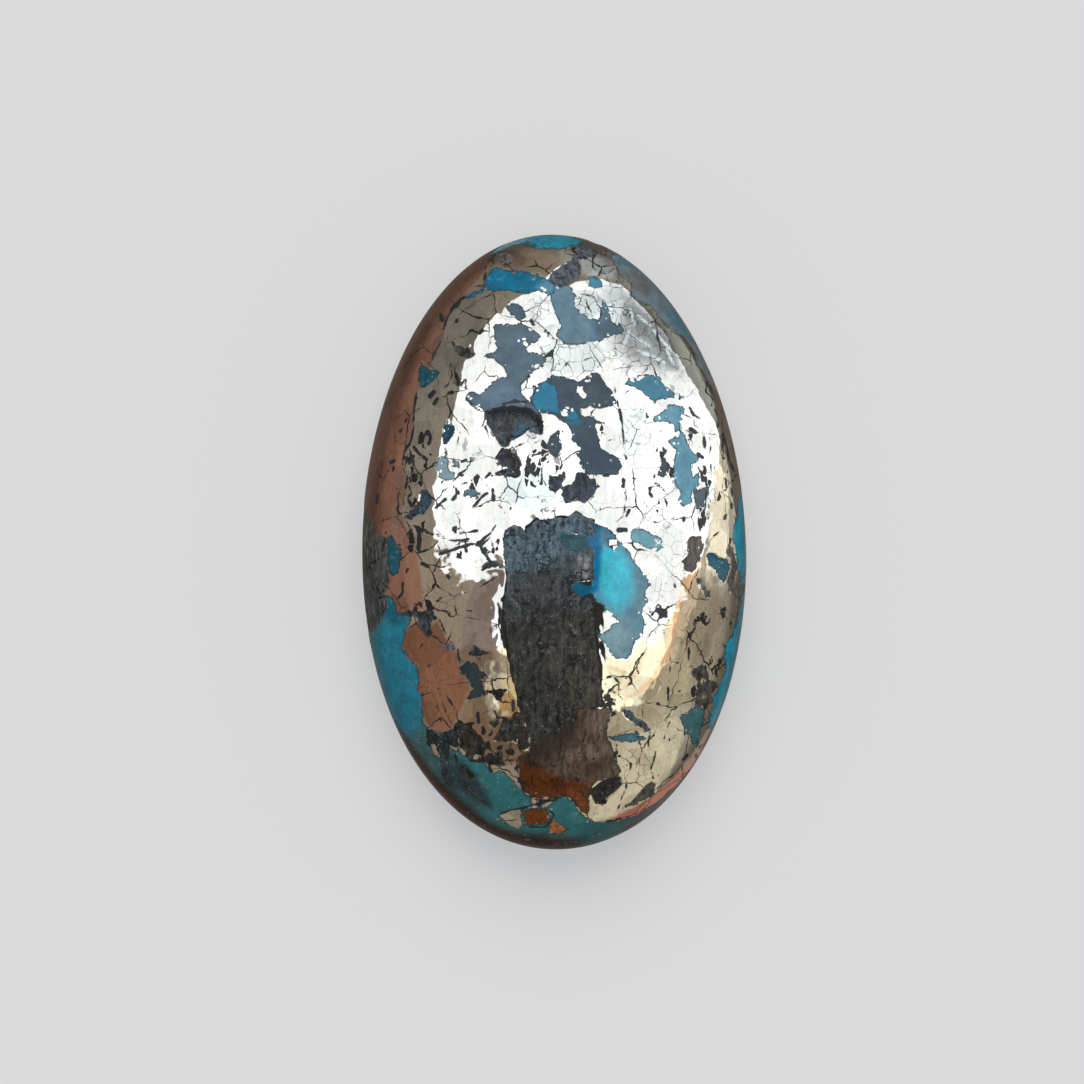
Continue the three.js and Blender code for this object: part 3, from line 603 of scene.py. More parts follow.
def depth_inside(outline, x, y):
    """How far each point lies inside an outline. It is below zero outside."""
    nearest = np.full(x.shape, np.inf)
    inside = np.zeros(x.shape, bool)
    for (ax, ay), (bx, by) in zip(outline, outline[1:] + outline[:1]):
        nearest = np.minimum(nearest, distance_to_line(ax, ay, bx, by, x, y))
        crosses = (ay > y) != (by > y)
        if ay != by:
            inside ^= crosses & (x < ax + (y - ay) * (bx - ax) / (by - ay))
    return np.where(inside, nearest, -nearest)


def distance_to_line(ax, ay, bx, by, x, y):
    dx, dy = bx - ax, by - ay
    part = ((x - ax) * dx + (y - ay) * dy) / (dx * dx + dy * dy)
    part = part.clip(0, 1)
    return np.hypot(x - ax - part * dx, y - ay - part * dy)


def depth_in_any(outlines, x, y):
    return np.max([depth_inside(outline, x, y) for outline in outlines], axis=0)


FAR_OUTSIDE = -9.0


def depth_in_veins(x, y):
    depth = np.full(x.shape, FAR_OUTSIDE)
    for points, half_width in VEINS:
        for (ax, ay), (bx, by) in zip(points, points[1:]):
            depth = np.maximum(depth, half_width - distance_to_line(ax, ay, bx, by, x, y))
    return depth


def smooth(low, high, value):
    part = ((value - low) / (high - low)).clip(0, 1)
    return part * part * (3 - 2 * part)


# Markings run through the stone, so the back shows others: the same drawing, turned round
# and read at another place. One gives way to the other along a wavy line on the wall.
BACK_SHIFT = (1.3, -2.2)
BACK_SCALE = 0.9
CHANGE_HEIGHT = 0.95
SLOW_WAVE = 0.45
QUICK_WAVE = 0.30
change_height = CHANGE_HEIGHT + SLOW_WAVE * np.sin(5 * angle + 1)
change_height = change_height + QUICK_WAVE * np.sin(13 * angle + 2)
to_back = (ring > 0) & (height < change_height)
read_x = np.where(to_back, BACK_SHIFT[0] - BACK_SCALE * x, x)
read_y = np.where(to_back, BACK_SHIFT[1] - BACK_SCALE * y, y)

# On the steep edge the drawing wavers with the height, so that no border runs straight down
STEEP_BELOW = 5.0
WAVER_ACROSS = 0.5
WAVER_ALONG = 0.7
steep = smooth(STEEP_BELOW, GIRDLE_HEIGHT, height)
read_x = read_x + WAVER_ACROSS * steep * np.sin(1.9 * height + 0.8 * y)
read_y = read_y + WAVER_ALONG * steep * np.sin(1.6 * height + 0.7 * x + 0.35 * y)


def read_patches(patches):
    """The depth in the nearest patch, and that patch's colour."""
    depths = np.array([depth_inside(outline, read_x, read_y) for _, outline in patches.values()])
    colours = np.array([colour for colour, _ in patches.values()])
    nearest = depths.argmax(axis=0)
    return depths.max(axis=0), colours[nearest]


turquoise_depth, turquoise_tint = read_patches(TURQUOISE_PATCHES)
slate_depth, slate_tint = read_patches(SLATE_PATCHES)
matrix_depth, matrix_tint = read_patches(MATRIX_PATCHES)
vein_depth = depth_in_veins(read_x, read_y)
island_depth = depth_in_any(PYRITE_ISLANDS.values(), read_x, read_y)
pools = [TURQUOISE_PATCHES[name][1] for name in OVER_MATRIX]
painted_warm_reflections = [SLATE_PATCHES[name][1] for name in OVER_TURQUOISE]
OVERLAP = 0.12
turquoise_depth = np.minimum(turquoise_depth, OVERLAP - depth_in_any(painted_warm_reflections, read_x, read_y))
matrix_depth = np.minimum(matrix_depth, OVERLAP - depth_in_any(pools, read_x, read_y))
turquoise_depth = np.minimum(turquoise_depth, -island_depth)
slate_depth = np.minimum(slate_depth, -island_depth)
matrix_depth = np.minimum(matrix_depth, -island_depth)

# Slow unevenness left by cutting by hand, as waves with a height, a run along x and along y
# and a phase, and how deep the softer rock lies below the pyrite. Where it fell out under
# the wheel, a patch of matrix is a pit.
UNEVENNESS = [(0.045, 0.62, 0.31, 0.9), (0.04, -0.38, 0.52, 2.3), (0.03, 0.95, -0.44, 4.1)]
TURQUOISE_SINK = 0.012
SLATE_SINK = 0.012
MATRIX_SINK = 0.03
VEIN_SINK = 0.004
EDGE_SLOPE = 0.22
VEIN_SLOPE = (-0.02, 0.06)
PIT_SLOPE = (-0.06, 0.3)
PIT_DEPTHS = {
    "pit": 0.30, "below the pit": 0.20, "lower left": 0.16, "lower middle": 0.12,
    "foot pit": 0.28, "foot pit right": 0.18, "left cluster": 0.12, "upper lens": 0.10,
    "black point": 0.12, "lower slot": 0.08, "left knot": 0.08, "top right": 0.08,
}

rise = ((height - GIRDLE_HEIGHT) / (THICKNESS - GIRDLE_HEIGHT)).clip(0, 1)
uneven = sum(wave_height * np.sin(run_x * x + run_y * y + phase)
             for wave_height, run_x, run_y, phase in UNEVENNESS)
relief = TURQUOISE_SINK * smooth(0, EDGE_SLOPE, turquoise_depth)
relief = np.maximum(relief, SLATE_SINK * smooth(0, EDGE_SLOPE, slate_depth))
relief = np.maximum(relief, MATRIX_SINK * smooth(0, EDGE_SLOPE, matrix_depth))
relief = np.maximum(relief, VEIN_SINK * smooth(*VEIN_SLOPE, vein_depth))
for name, pit_depth in PIT_DEPTHS.items():
    depth = depth_inside(MATRIX_PATCHES[name][1], x, y)
    relief = np.maximum(relief, pit_depth * smooth(*PIT_SLOPE, depth))
sink = relief - uneven * rise
sink = np.where((ring == 0) & (height > GIRDLE_HEIGHT), sink, 0)
to_core = np.stack([-x, -y, GIRDLE_HEIGHT - height], axis=1)
to_core /= np.linalg.norm(to_core, axis=1, keepdims=True).clip(1e-6)
place = np.stack([x, y, height], axis=1) + to_core * sink[:, None]

# The cut stone is brought to the solid's exact box
place -= [(place[:, 0].max() + place[:, 0].min()) / 2,
          (place[:, 1].max() + place[:, 1].min()) / 2, place[:, 2].min()]
place *= np.array([WIDTH, LENGTH, THICKNESS]) / np.ptp(place, axis=0)
stone.data.vertices.foreach_set("co", (place * MM).ravel())
stone.data.update()

bpy.ops.object.select_all(action="DESELECT")
stone.select_set(True)
bpy.context.view_layer.objects.active = stone
bpy.ops.object.mode_set(mode="EDIT")
bpy.ops.mesh.select_all(action="SELECT")
bpy.ops.mesh.normals_make_consistent(inside=False)
bpy.ops.object.mode_set(mode="OBJECT")
bpy.ops.object.shade_smooth_by_angle(angle=CREASE_ANGLE)


OVAL_POINTS = 20


def oval(middle, half_long, half_short, turn=0):
    """An outline for a round spot, its length turned from X by some degrees."""
    points = []
    turned = math.radians(turn)
    for step in range(OVAL_POINTS):
        around = 2 * math.pi * step / OVAL_POINTS
        long_way = half_long * math.cos(around)
        short_way = half_short * math.sin(around)
        points.append((middle[0] + long_way * math.cos(turned) - short_way * math.sin(turned),
                       middle[1] + long_way * math.sin(turned) + short_way * math.cos(turned)))
    return points


# Changes of colour within a rock, among them painted reflections and a painted highlight where
# marked: an outline, how softly it fades, the colour and its share
PALE_BRASS = (0.60, 0.56, 0.47)
PYRITE_TINTS_AND_REFLECTIONS = [
    # Painted reflection: the rose-copper tint on the pyrite of the left rim stands in for a warm
    # reflection
    ([(-2.9, 15.2), (-3.2, 14.6), (-3.6, 13.9), (-4.2, 13.2), (-4.8, 12.6), (-5.2, 12.0),
      (-5.5, 11.3), (-5.8, 10.2), (-6.25, 9.3), (-6.7, 8.2), (-7.1, 7.6), (-7.2, 6.5),
      (-7.25, 5.6), (-7.5, 4.8), (-7.65, 3.5), (-7.6, 2.4), (-7.9, 1.5), (-7.6, 0.9),
      (-7.2, 0.3), (-7.0, -0.8), (-6.8, -2.2), (-6.6, -3.4), (-9.0, -4.0), (-11.0, -4.0),
      (-11.0, 8.0), (-8.0, 14.0), (-4.0, 17.0)], 0.06, (0.57, 0.35, 0.27), 1.0),
    # Painted reflection: the copper tint on the pyrite at the lower left
    ([(-7.6, -4.6), (-7.0, -4.0), (-6.4, -4.4), (-5.9, -4.0), (-5.4, -4.9), (-4.9, -5.6),
      (-4.8, -6.2), (-4.4, -7.0), (-4.3, -7.6), (-4.6, -8.2), (-4.95, -8.9), (-5.3, -9.6),
      (-5.9, -9.8), (-6.5, -9.3), (-6.8, -8.6), (-6.8, -7.8), (-7.1, -7.2), (-6.9, -6.2),
      (-7.5, -5.9), (-7.8, -5.2)], 0.06, (0.48, 0.27, 0.18), 1.0),
    # Painted reflections on the pyrite left of the dark card, down to the cream highlight: tan,
    # brown, cream, gold and orange tints set to what the polish mirrors there
    ([(-4.9, -5.6), (-4.4, -5.2), (-3.0, -5.6), (-2.9, -6.0), (-2.75, -7.2), (-2.3, -8.6),
      (-3.4, -9.3), (-4.9, -9.1), (-4.3, -7.6)], 0.12, (0.46, 0.37, 0.25), 0.9),
    ([(-3.3, -9.0), (-1.5, -8.6), (-1.5, -11.0), (-1.8, -11.3), (-3.6, -11.4), (-4.9, -9.4),
      (-4.2, -9.0)], 0.15, (0.36, 0.26, 0.18), 0.9),
    ([(-3.6, -6.1), (-2.95, -6.0), (-2.75, -6.8), (-2.9, -7.4), (-3.5, -7.3)], 0.05,
     (0.52, 0.50, 0.39), 0.9),
    ([(-2.85, -5.6), (-2.5, -5.2), (-2.2, -6.0), (-2.0, -7.5), (-1.95, -8.1), (-2.3, -7.6),
      (-2.6, -7.3), (-2.7, -6.4)], 0.08, (0.66, 0.53, 0.27), 0.9),
    (oval((-2.5, -6.4), 0.25, 0.7, 12), 0.12, (0.80, 0.74, 0.56), 0.9),
    ([(-2.6, -7.7), (-2.2, -7.7), (-1.9, -8.1), (-1.8, -8.6), (-1.9, -9.05), (-2.2, -9.0),
      (-2.4, -8.6), (-2.9, -8.75), (-2.75, -8.3)], 0.06, (0.32, 0.20, 0.08), 0.95),
    # A painted highlight, bright cream
    ([(-3.5, -7.75), (-3.2, -7.95), (-2.9, -8.15), (-2.85, -8.5), (-3.05, -8.6), (-3.0, -8.95),
      (-3.15, -9.05), (-3.35, -8.8), (-3.35, -8.5), (-3.55, -8.1)], 0.05, (0.86, 0.84, 0.72), 1.0),
    # Painted reflection: the rose tint on the pyrite by the lower right rim
    ([(3.0, -14.1), (4.0, -13.75), (5.0, -13.15), (5.9, -12.35), (6.7, -11.45), (7.2, -10.8),
      (8.4, -10.2), (7.6, -12.5), (5.0, -15.0), (3.0, -14.8)], 0.08, (1.00, 0.47, 0.37), 1.0),
    ([(3.2, 12.9), (4.1, 12.6), (5.2, 11.6), (6.1, 10.5), (6.5, 9.3), (6.6, 8.7), (5.2, 8.7),
      (3.9, 9.1), (3.2, 9.8), (3.0, 10.9), (3.2, 11.8)], 0.7, (0.165, 0.165, 0.143), 0.92),
    ([(3.6, 12.2), (4.3, 12.05), (5.2, 11.3), (5.95, 10.3), (6.3, 9.4), (6.4, 8.8), (5.9, 8.9),
      (5.5, 9.6), (4.9, 10.3), (4.2, 10.9), (3.6, 11.4)], 0.18, (0.132, 0.131, 0.118), 0.92),
    (oval((5.55, 10.35), 0.8, 0.06, -48), 0.04, (0.52, 0.53, 0.48), 0.8),
    (oval((4.6, 11.35), 0.5, 0.05, -38), 0.04, (0.50, 0.51, 0.46), 0.7),
    (oval((5.95, 9.5), 0.5, 0.06, -66), 0.04, (0.48, 0.48, 0.44), 0.8),
    (oval((4.4, 10.3), 0.7, 0.09, -30), 0.06, (0.42, 0.43, 0.39), 0.7),
    (oval((5.0, 9.5), 0.8, 0.10, -24), 0.06, (0.50, 0.51, 0.46), 0.7),
    (oval((3.7, 10.4), 0.5, 0.08, 70), 0.05, (0.46, 0.46, 0.42), 0.7),
    (oval((4.1, 9.6), 0.5, 0.08, 20), 0.05, (0.14, 0.14, 0.12), 0.7),
    (oval((4.0, 11.5), 0.5, 0.07, -75), 0.05, (0.44, 0.45, 0.40), 0.7),
    (oval((1.8, 12.1), 0.7, 0.7), 0.1, (0.34, 0.35, 0.30), 0.9),
    (oval((2.9, 12.0), 0.6, 1.1), 0.3, (0.36, 0.37, 0.33), 0.7),
    (oval((0.9, 9.4), 1.7, 0.9), 0.15, (0.42, 0.42, 0.36), 0.9),
    (oval((-0.5, 11.6), 0.8, 0.9), 0.15, (0.48, 0.47, 0.40), 0.8),
    (oval((-1.2, 2.6), 1.4, 1.0), 0.3, (0.46, 0.48, 0.42), 0.8),
    (oval((4.1, 6.1), 0.7, 1.6), 0.2, (0.50, 0.51, 0.45), 0.7),
    ([(1.3, 13.7), (2.0, 13.5), (3.0, 13.5), (3.3, 14.2), (3.0, 15.1), (2.0, 15.1), (1.3, 14.5)],
     0.15, (0.92, 0.97, 0.95), 0.9),
    (oval((2.55, 14.35), 0.60, 0.60), 0.06, (0.74, 0.78, 0.76), 0.9),
    (oval((-1.9, 14.6), 0.7, 0.4, -10), 0.25, (0.42, 0.36, 0.30), 0.8),
    (oval((0.3, 14.5), 0.8, 0.4), 0.25, (0.70, 0.67, 0.58), 0.8),
    (oval((7.3, -4.0), 1.2, 1.9), 0.6, (0.56, 0.51, 0.40), 0.8),
    (oval((6.9, -2.1), 1.3, 0.16, 62), 0.12, (0.86, 0.56, 0.36), 0.8),
    (oval((6.15, -4.1), 1.4, 0.16, 76), 0.12, (0.84, 0.55, 0.35), 0.85),
    (oval((5.55, -6.1), 0.9, 0.14, 58), 0.10, (0.70, 0.46, 0.30), 0.85),
    (oval((4.85, -7.15), 0.9, 0.14, 38), 0.10, (0.62, 0.40, 0.26), 0.85),
    (oval((4.0, -6.9), 0.8, 0.10, 50), 0.06, (0.56, 0.40, 0.26), 0.8),
    (oval((3.2, -6.5), 0.5, 0.10, -20), 0.08, (0.46, 0.33, 0.22), 0.85),
    (oval((3.3, -7.3), 0.7, 0.07, 70), 0.05, (0.52, 0.36, 0.22), 0.8),
    (oval((4.4, -6.2), 0.7, 0.08, 65), 0.06, (0.54, 0.43, 0.28), 0.75),
    (oval((4.0, -7.8), 0.8, 0.08, 24), 0.06, (0.54, 0.40, 0.28), 0.8),
    (oval((7.7, -5.6), 1.4, 0.10, 80), 0.08, (0.47, 0.39, 0.27), 0.7),
    (oval((6.2, -10.1), 1.0, 1.6), 0.5, (0.70, 0.67, 0.58), 0.8),
    (oval((8.7, 5.0), 0.4, 1.8), 0.3, (0.74, 0.68, 0.56), 0.8),
    (oval((6.7, -7.2), 1.0, 0.22, 82), 0.12, (0.72, 0.69, 0.56), 0.7),
]
TURQUOISE_TINTS = [
    (oval((-0.4, 13.1), 0.5, 0.35), 0.25, (0.045, 0.140, 0.170), 0.9),
    (oval((3.05, -1.8), 0.95, 1.7, 10), 0.5, (0.026, 0.250, 0.300), 1.0),
    (oval((3.2, -4.9), 0.9, 0.9), 0.5, (0.092, 0.150, 0.158), 0.9),
    ([(1.5, 1.2), (2.45, 1.0), (2.4, 0.0), (2.35, -1.2), (2.2, -2.5), (1.9, -2.6), (1.9, -0.8)],
     0.16, (0.000, 0.080, 0.160), 0.97),
    ([(1.6, 1.2), (2.4, 1.0), (2.2, 0.3), (2.0, -0.2), (1.8, 0.0)], 0.2, (0.002, 0.036, 0.070), 0.8),
    ([(2.35, 0.9), (3.5, 0.3), (3.2, -0.2), (2.5, 0.0)], 0.15, (0.030, 0.080, 0.108), 0.9),
    (oval((4.5, -2.6), 0.35, 1.3, 6), 0.5, (0.060, 0.122, 0.145), 0.7),
    (oval((-8.0, -7.0), 1.3, 3.3, 6), 0.6, (0.006, 0.090, 0.125), 0.95),
    (oval((-8.1, -3.4), 0.6, 0.9), 0.3, (0.002, 0.052, 0.072), 0.9),
    (oval((-6.6, -11.0), 1.4, 1.3, -50), 0.6, (0.026, 0.050, 0.048), 0.8),
    (oval((-4.8, -12.8), 1.5, 1.1, -45), 0.6, (0.018, 0.036, 0.036), 0.8),
    ([(-5.95, -10.9), (-5.2, -10.9), (-4.5, -11.4), (-3.9, -12.2), (-3.3, -13.2), (-3.2, -13.7),
      (-3.8, -13.4), (-4.8, -12.9), (-5.6, -12.3)], 0.22, (0.009, 0.019, 0.021), 0.85),
    # Painted dark reflection: the brown band along the lower rim, and the browner one at the lower
    # right after it, stand in for the wall mirroring a dim surround
    ([(-9.6, -8.0), (-8.5, -9.1), (-7.5, -10.5), (-6.3, -12.0), (-5.1, -13.2), (-3.9, -14.1),
      (-2.6, -14.75), (-1.0, -14.95), (0.6, -15.15), (2.2, -15.15), (3.6, -14.95), (5.0, -14.4),
      (5.0, -18.0), (-6.0, -18.0), (-12.0, -10.0)], 0.28, (0.020, 0.007, 0.003), 0.97),
    ([(3.6, -14.9), (5.6, -13.6), (7.4, -11.6), (9.0, -9.0), (9.4, -9.0), (9.0, -12.0),
      (6.0, -16.0)], 0.2, (0.040, 0.026, 0.024), 0.7),
    ([(9.8, 3.5), (9.8, -2.0), (9.55, -5.0), (8.95, -8.0), (10.8, -8.0), (11.0, 3.5)], 0.12,
     (0.004, 0.040, 0.050), 0.35),
    (oval((9.2, -2.9), 0.3, 1.6), 0.2, (0.012, 0.060, 0.072), 0.6),
    (oval((-2.4, 15.6), 1.0, 0.6), 0.4, (0.080, 0.160, 0.176), 0.7),
    (oval((2.6, -14.8), 1.3, 0.5, 10), 0.3, (0.009, 0.050, 0.050), 0.85),
]
SLATE_TINTS = [
    (oval((0.3, 12.4), 0.7, 1.0), 0.5, (0.050, 0.096, 0.124), 0.8),
    (oval((2.8, 10.9), 0.8, 0.5), 0.4, (0.024, 0.044, 0.056), 0.9),
    (oval((2.3, 7.8), 0.9, 0.9), 0.25, (0.022, 0.034, 0.039), 0.95),
    (oval((2.5, 4.3), 0.9, 0.8), 0.4, (0.015, 0.026, 0.037), 0.9),
    (oval((1.3, 5.8), 0.8, 0.6), 0.4, (0.023, 0.038, 0.045), 0.8),
    (oval((1.0, 6.2), 0.4, 0.25), 0.2, (0.008, 0.074, 0.104), 0.9),
    (oval((-0.75, 5.9), 0.25, 0.6), 0.15, (0.018, 0.022, 0.028), 0.9),
    (oval((5.8, 12.6), 2.4, 0.5, -52), 0.3, (0.054, 0.084, 0.093), 0.8),
    (oval((6.5, 11.4), 1.1, 0.35, -54), 0.25, (0.022, 0.078, 0.100), 0.85),
    (oval((4.4, 13.4), 0.8, 0.40, -45), 0.25, (0.064, 0.062, 0.058), 0.8),
    (oval((3.7, 14.7), 0.5, 0.25, -30), 0.2, (0.020, 0.085, 0.115), 0.8),
    ([(7.4, 9.6), (8.4, 8.6), (9.6, 7.6), (9.6, 6.0), (7.4, 8.4)], 0.3, (0.090, 0.086, 0.078), 0.8),
    # From here to the oval at the lower middle, and again in the last tint: shades of the painted
    # warm reflection at the foot
    ([(-2.2, -10.7), (-1.2, -11.2), (0.2, -12.0), (1.5, -12.3), (2.2, -12.6), (2.2, -14.4),
      (-1.9, -13.4)], 0.3, (0.048, 0.012, 0.002), 0.95),
    (oval((1.2, -13.2), 0.7, 0.5, -50), 0.3, (0.085, 0.022, 0.004), 0.8),
    (oval((-1.2, -11.7), 0.5, 0.6), 0.3, (0.040, 0.012, 0.003), 0.7),
    (oval((2.35, -9.1), 0.5, 0.7), 0.25, (0.078, 0.056, 0.040), 0.9),
    (oval((1.7, -10.8), 1.3, 0.35, 8), 0.25, (0.078, 0.056, 0.036), 0.8),
    (oval((2.2, -11.5), 0.9, 0.3, 20), 0.20, (0.030, 0.018, 0.011), 0.8),
    (oval((-2.7, 7.5), 1.2, 0.6), 0.4, (0.053, 0.089, 0.118), 0.8),
    ([(-1.9, -11.0), (-1.3, -9.9), (-0.2, -9.4), (0.9, -8.8), (1.3, -9.4), (1.0, -10.2),
      (0.2, -10.9), (-0.9, -11.4)], 0.55, (0.017, 0.014, 0.010), 0.95),
]
MATRIX_TINTS = [
    # The first five tints colour the painted dark reflection column
    ([(-2.9, 0.0), (2.5, 0.0), (2.5, -3.4), (-2.9, -3.4)], 0.9, (0.018, 0.021, 0.021), 0.9),
    ([(-2.8, 1.4), (2.4, 1.8), (2.2, -0.4), (0.6, -0.6), (-0.2, -1.2), (-2.8, -1.8)], 0.5,
     (0.032, 0.050, 0.058), 0.9),
    (oval((1.0, -6.5), 1.4, 2.6), 0.9, (0.021, 0.017, 0.013), 0.9),
    (oval((1.5, -0.95), 0.3, 0.42, 20), 0.1, (0.085, 0.085, 0.080), 0.9),
    (oval((1.45, -1.6), 0.42, 0.14, -20), 0.08, (0.085, 0.085, 0.080), 0.9),
    (oval((-1.65, 5.8), 0.5, 0.4, 20), 0.12, (0.014, 0.034, 0.048), 0.9),
    (oval((-9.2, -3.6), 0.8, 1.2), 0.5, (0.024, 0.028, 0.026), 0.8),
    (oval((-9.4, 0.8), 0.5, 1.3), 0.4, (0.032, 0.032, 0.026), 0.8),
]


def soft_colours(ground, tints):
    colour = np.broadcast_to(np.array(ground, float), (len(x), 3)).copy()
    for outline, softness, tint, strength in tints:
        depth = depth_inside(outline, read_x, read_y)
        share = (strength * smooth(-softness, softness, depth))[:, None]
        colour = colour * (1 - share) + np.array(tint) * share
    return colour


def store(name, values):
    layer = stone.data.attributes.new(name, "FLOAT", "POINT")
    layer.data.foreach_set("value", values.astype(np.float32))


def store_colours(name, colours):
    layer = stone.data.attributes.new(name, "FLOAT_COLOR", "POINT")
    opaque = np.concatenate([colours, np.ones((len(colours), 1))], axis=1)
    layer.data.foreach_set("color", opaque.astype(np.float32).ravel())


# Where the pyrite is crazed, from not at all to all over
CRAZED_SPOTS = [
    (oval((4.0, 10.6), 2.4, 1.6, -40), 0.8, 1.0),
    (oval((2.9, 13.1), 1.0, 0.8), 0.4, 1.0),
    (oval((1.8, 12.1), 0.8, 0.8), 0.3, 1.0),
    (oval((0.7, 9.4), 1.9, 1.2), 0.4, 1.0),
    (oval((-0.6, 11.8), 0.8, 0.9), 0.3, 0.7),
    (oval((5.9, 9.0), 1.2, 0.6, -40), 0.4, 0.7),
    (oval((4.2, 5.4), 0.8, 1.6), 0.5, 0.7),
    (oval((5.9, 0.4), 1.3, 2.4), 0.8, 0.55),
    (oval((5.6, -3.0), 0.8, 1.5), 0.5, 0.4),
    (oval((7.5, -5.6), 1.0, 2.4), 0.6, 0.6),
    (oval((6.2, -9.6), 0.9, 1.4), 0.5, 0.3),
    (oval((-5.3, -2.6), 1.1, 1.0), 0.5, 0.6),
    (oval((-6.0, -7.4), 0.7, 1.6), 0.5, 0.6),
    (oval((4.2, -11.2), 0.9, 1.2), 0.4, 0.65),
    (oval((-7.2, 3.0), 0.6, 1.8), 0.4, 0.8),
    (oval((8.0, 2.0), 0.4, 2.2), 0.3, 0.8),
]
# Where small sharp chips of matrix lie between its grains, from none to many
CHIPPED_SPOTS = [
    (oval((-0.5, 3.9), 1.3, 1.1), 0.4, 0.55),
    (oval((-4.6, 3.2), 1.3, 0.9), 0.4, 0.40),
    (oval((-4.1, 0.0), 1.7, 0.7), 0.4, 0.45),
    (oval((2.9, 5.4), 0.5, 0.9), 0.3, 0.45),
    (oval((5.5, 3.4), 0.6, 2.0), 0.4, 0.45),
    (oval((7.7, 3.2), 0.35, 2.6), 0.2, 0.70),
    (oval((8.9, 1.4), 0.5, 2.2), 0.3, 0.45),
    (oval((7.8, -7.2), 0.8, 1.3), 0.3, 0.55),
    (oval((-6.9, 4.2), 0.6, 1.8), 0.3, 0.45),
    (oval((-7.1, 0.6), 0.7, 1.8), 0.3, 0.50),
    (oval((-3.2, -9.7), 1.3, 0.9), 0.3, 0.45),
    (oval((-6.9, -4.0), 0.9, 0.7), 0.3, 0.45),
]


def share_of_spots(spots):
    share = np.zeros(len(x))
    for outline, softness, strength in spots:
        depth = depth_inside(outline, read_x, read_y)
        share = np.maximum(share, strength * smooth(-softness, softness, depth))
    return share


# The ground finish of the back, up to this height on its bevel, and full below the second
GROUND_TO = 0.3
FULLY_GROUND_TO = 0.02
store("turquoise_depth", turquoise_depth)
store("slate_depth", slate_depth)
store("matrix_depth", matrix_depth)
store("vein_depth", vein_depth)
store("crazed", share_of_spots(CRAZED_SPOTS))
store("chipped", share_of_spots(CHIPPED_SPOTS))
store("back_share", smooth(GROUND_TO, FULLY_GROUND_TO, place[:, 2]))
store_colours("pyrite_colour_and_reflections", soft_colours(PALE_BRASS, PYRITE_TINTS_AND_REFLECTIONS))
store_colours("turquoise_tint", soft_colours(turquoise_tint, TURQUOISE_TINTS))
store_colours("slate_tint", soft_colours(slate_tint, SLATE_TINTS))
store_colours("matrix_tint", soft_colours(matrix_tint, MATRIX_TINTS))


# Nodes are added by short helpers, here and for the floor and the light. A number or a colour
# fills a socket, and another node's socket is linked to it.
def add_node(tree, kind, fills=None, **settings):
    made = tree.nodes.new(kind)
    for name, value in settings.items():
        setattr(made, name, value)
    for socket, value in (fills or {}).items():
        if isinstance(value, bpy.types.NodeSocket):
            tree.links.new(value, made.inputs[socket])
        else:
            made.inputs[socket].default_value = value
    return made


def maths(tree, operation, a, b=0.0, c=0.0):
    return add_node(tree, "ShaderNodeMath", {0: a, 1: b, 2: c}, operation=operation).outputs[0]


def between(tree, low, high, value):
    """0 at the low value and 1 at the high one, and smooth between them."""
    fills = {"Value": value, "From Min": low, "From Max": high}
    made = add_node(tree, "ShaderNodeMapRange", fills, interpolation_type="SMOOTHSTEP")
    return made.outputs["Result"]


def blend_colours(tree, share, ground, top):
    made = add_node(tree, "ShaderNodeMix", {0: share, 6: ground, 7: top}, data_type="RGBA")
    return made.outputs[2]


polish = bpy.data.materials.new("polished turquoise with pyrite")
polish.use_nodes = True
tree = polish.node_tree
tree.nodes.clear()


def attribute(name, output="Fac"):
    return add_node(tree, "ShaderNodeAttribute", attribute_name=name).outputs[output]


def noise(spot, per_mm, detail=2.0, roughness=0.5, output="Fac"):
    fills = {"Vector": spot, "Scale": per_mm, "Detail": detail, "Roughness": roughness}
    return add_node(tree, "ShaderNodeTexNoise", fills).outputs[output]


def cells(spot, per_mm, output):
    """Grains all over: how far each place is from its grain's middle, or the grain's colour."""
    fills = {"Vector": spot, "Scale": per_mm}
    return add_node(tree, "ShaderNodeTexVoronoi", fills, feature="F1").outputs[output]


def net(spot, per_mm):
    """How far each place is from the borders between grains."""
    fills = {"Vector": spot, "Scale": per_mm}
    made = add_node(tree, "ShaderNodeTexVoronoi", fills, feature="DISTANCE_TO_EDGE")
    return made.outputs["Distance"]


def vector(operation, fills):
    return add_node(tree, "ShaderNodeVectorMath", fills, operation=operation).outputs[0]


def stretch(spot, scale):
    return vector("MULTIPLY", {0: spot, 1: scale})


def lighten(colour, tone):
    return vector("SCALE", {0: colour, 3: tone})


def scaled(value, by, plus=0.0):
    return maths(tree, "MULTIPLY_ADD", value, by, plus)


def sum_of(a, b):
    return maths(tree, "ADD", a, b)


def less(a, b):
    return maths(tree, "SUBTRACT", a, b)


def times(a, b):
    return maths(tree, "MULTIPLY", a, b)


def most(first, *others):
    for other in others:
        first = maths(tree, "MAXIMUM", first, other)
    return first


def ramp(value, none_at, full_at):
    return between(tree, none_at, full_at, value)


def below(value, limit, softness):
    """The places where a value is below a limit."""
    return ramp(less(value, limit), none_at=softness, full_at=-softness)


def lay_over(ground, colour, mask, strength=None):
    """A colour laid over another where its mask is, at some strength or at full."""
    share = mask if strength is None else times(mask, strength)
    return blend_colours(tree, share, ground, colour)


def blend_values(share, ground, top):
    made = add_node(tree, "ShaderNodeMix", {0: share, 2: ground, 3: top}, data_type="FLOAT")
    return made.outputs[0]


def parts_of(colour):
    return add_node(tree, "ShaderNodeSeparateColor", {0: colour}).outputs


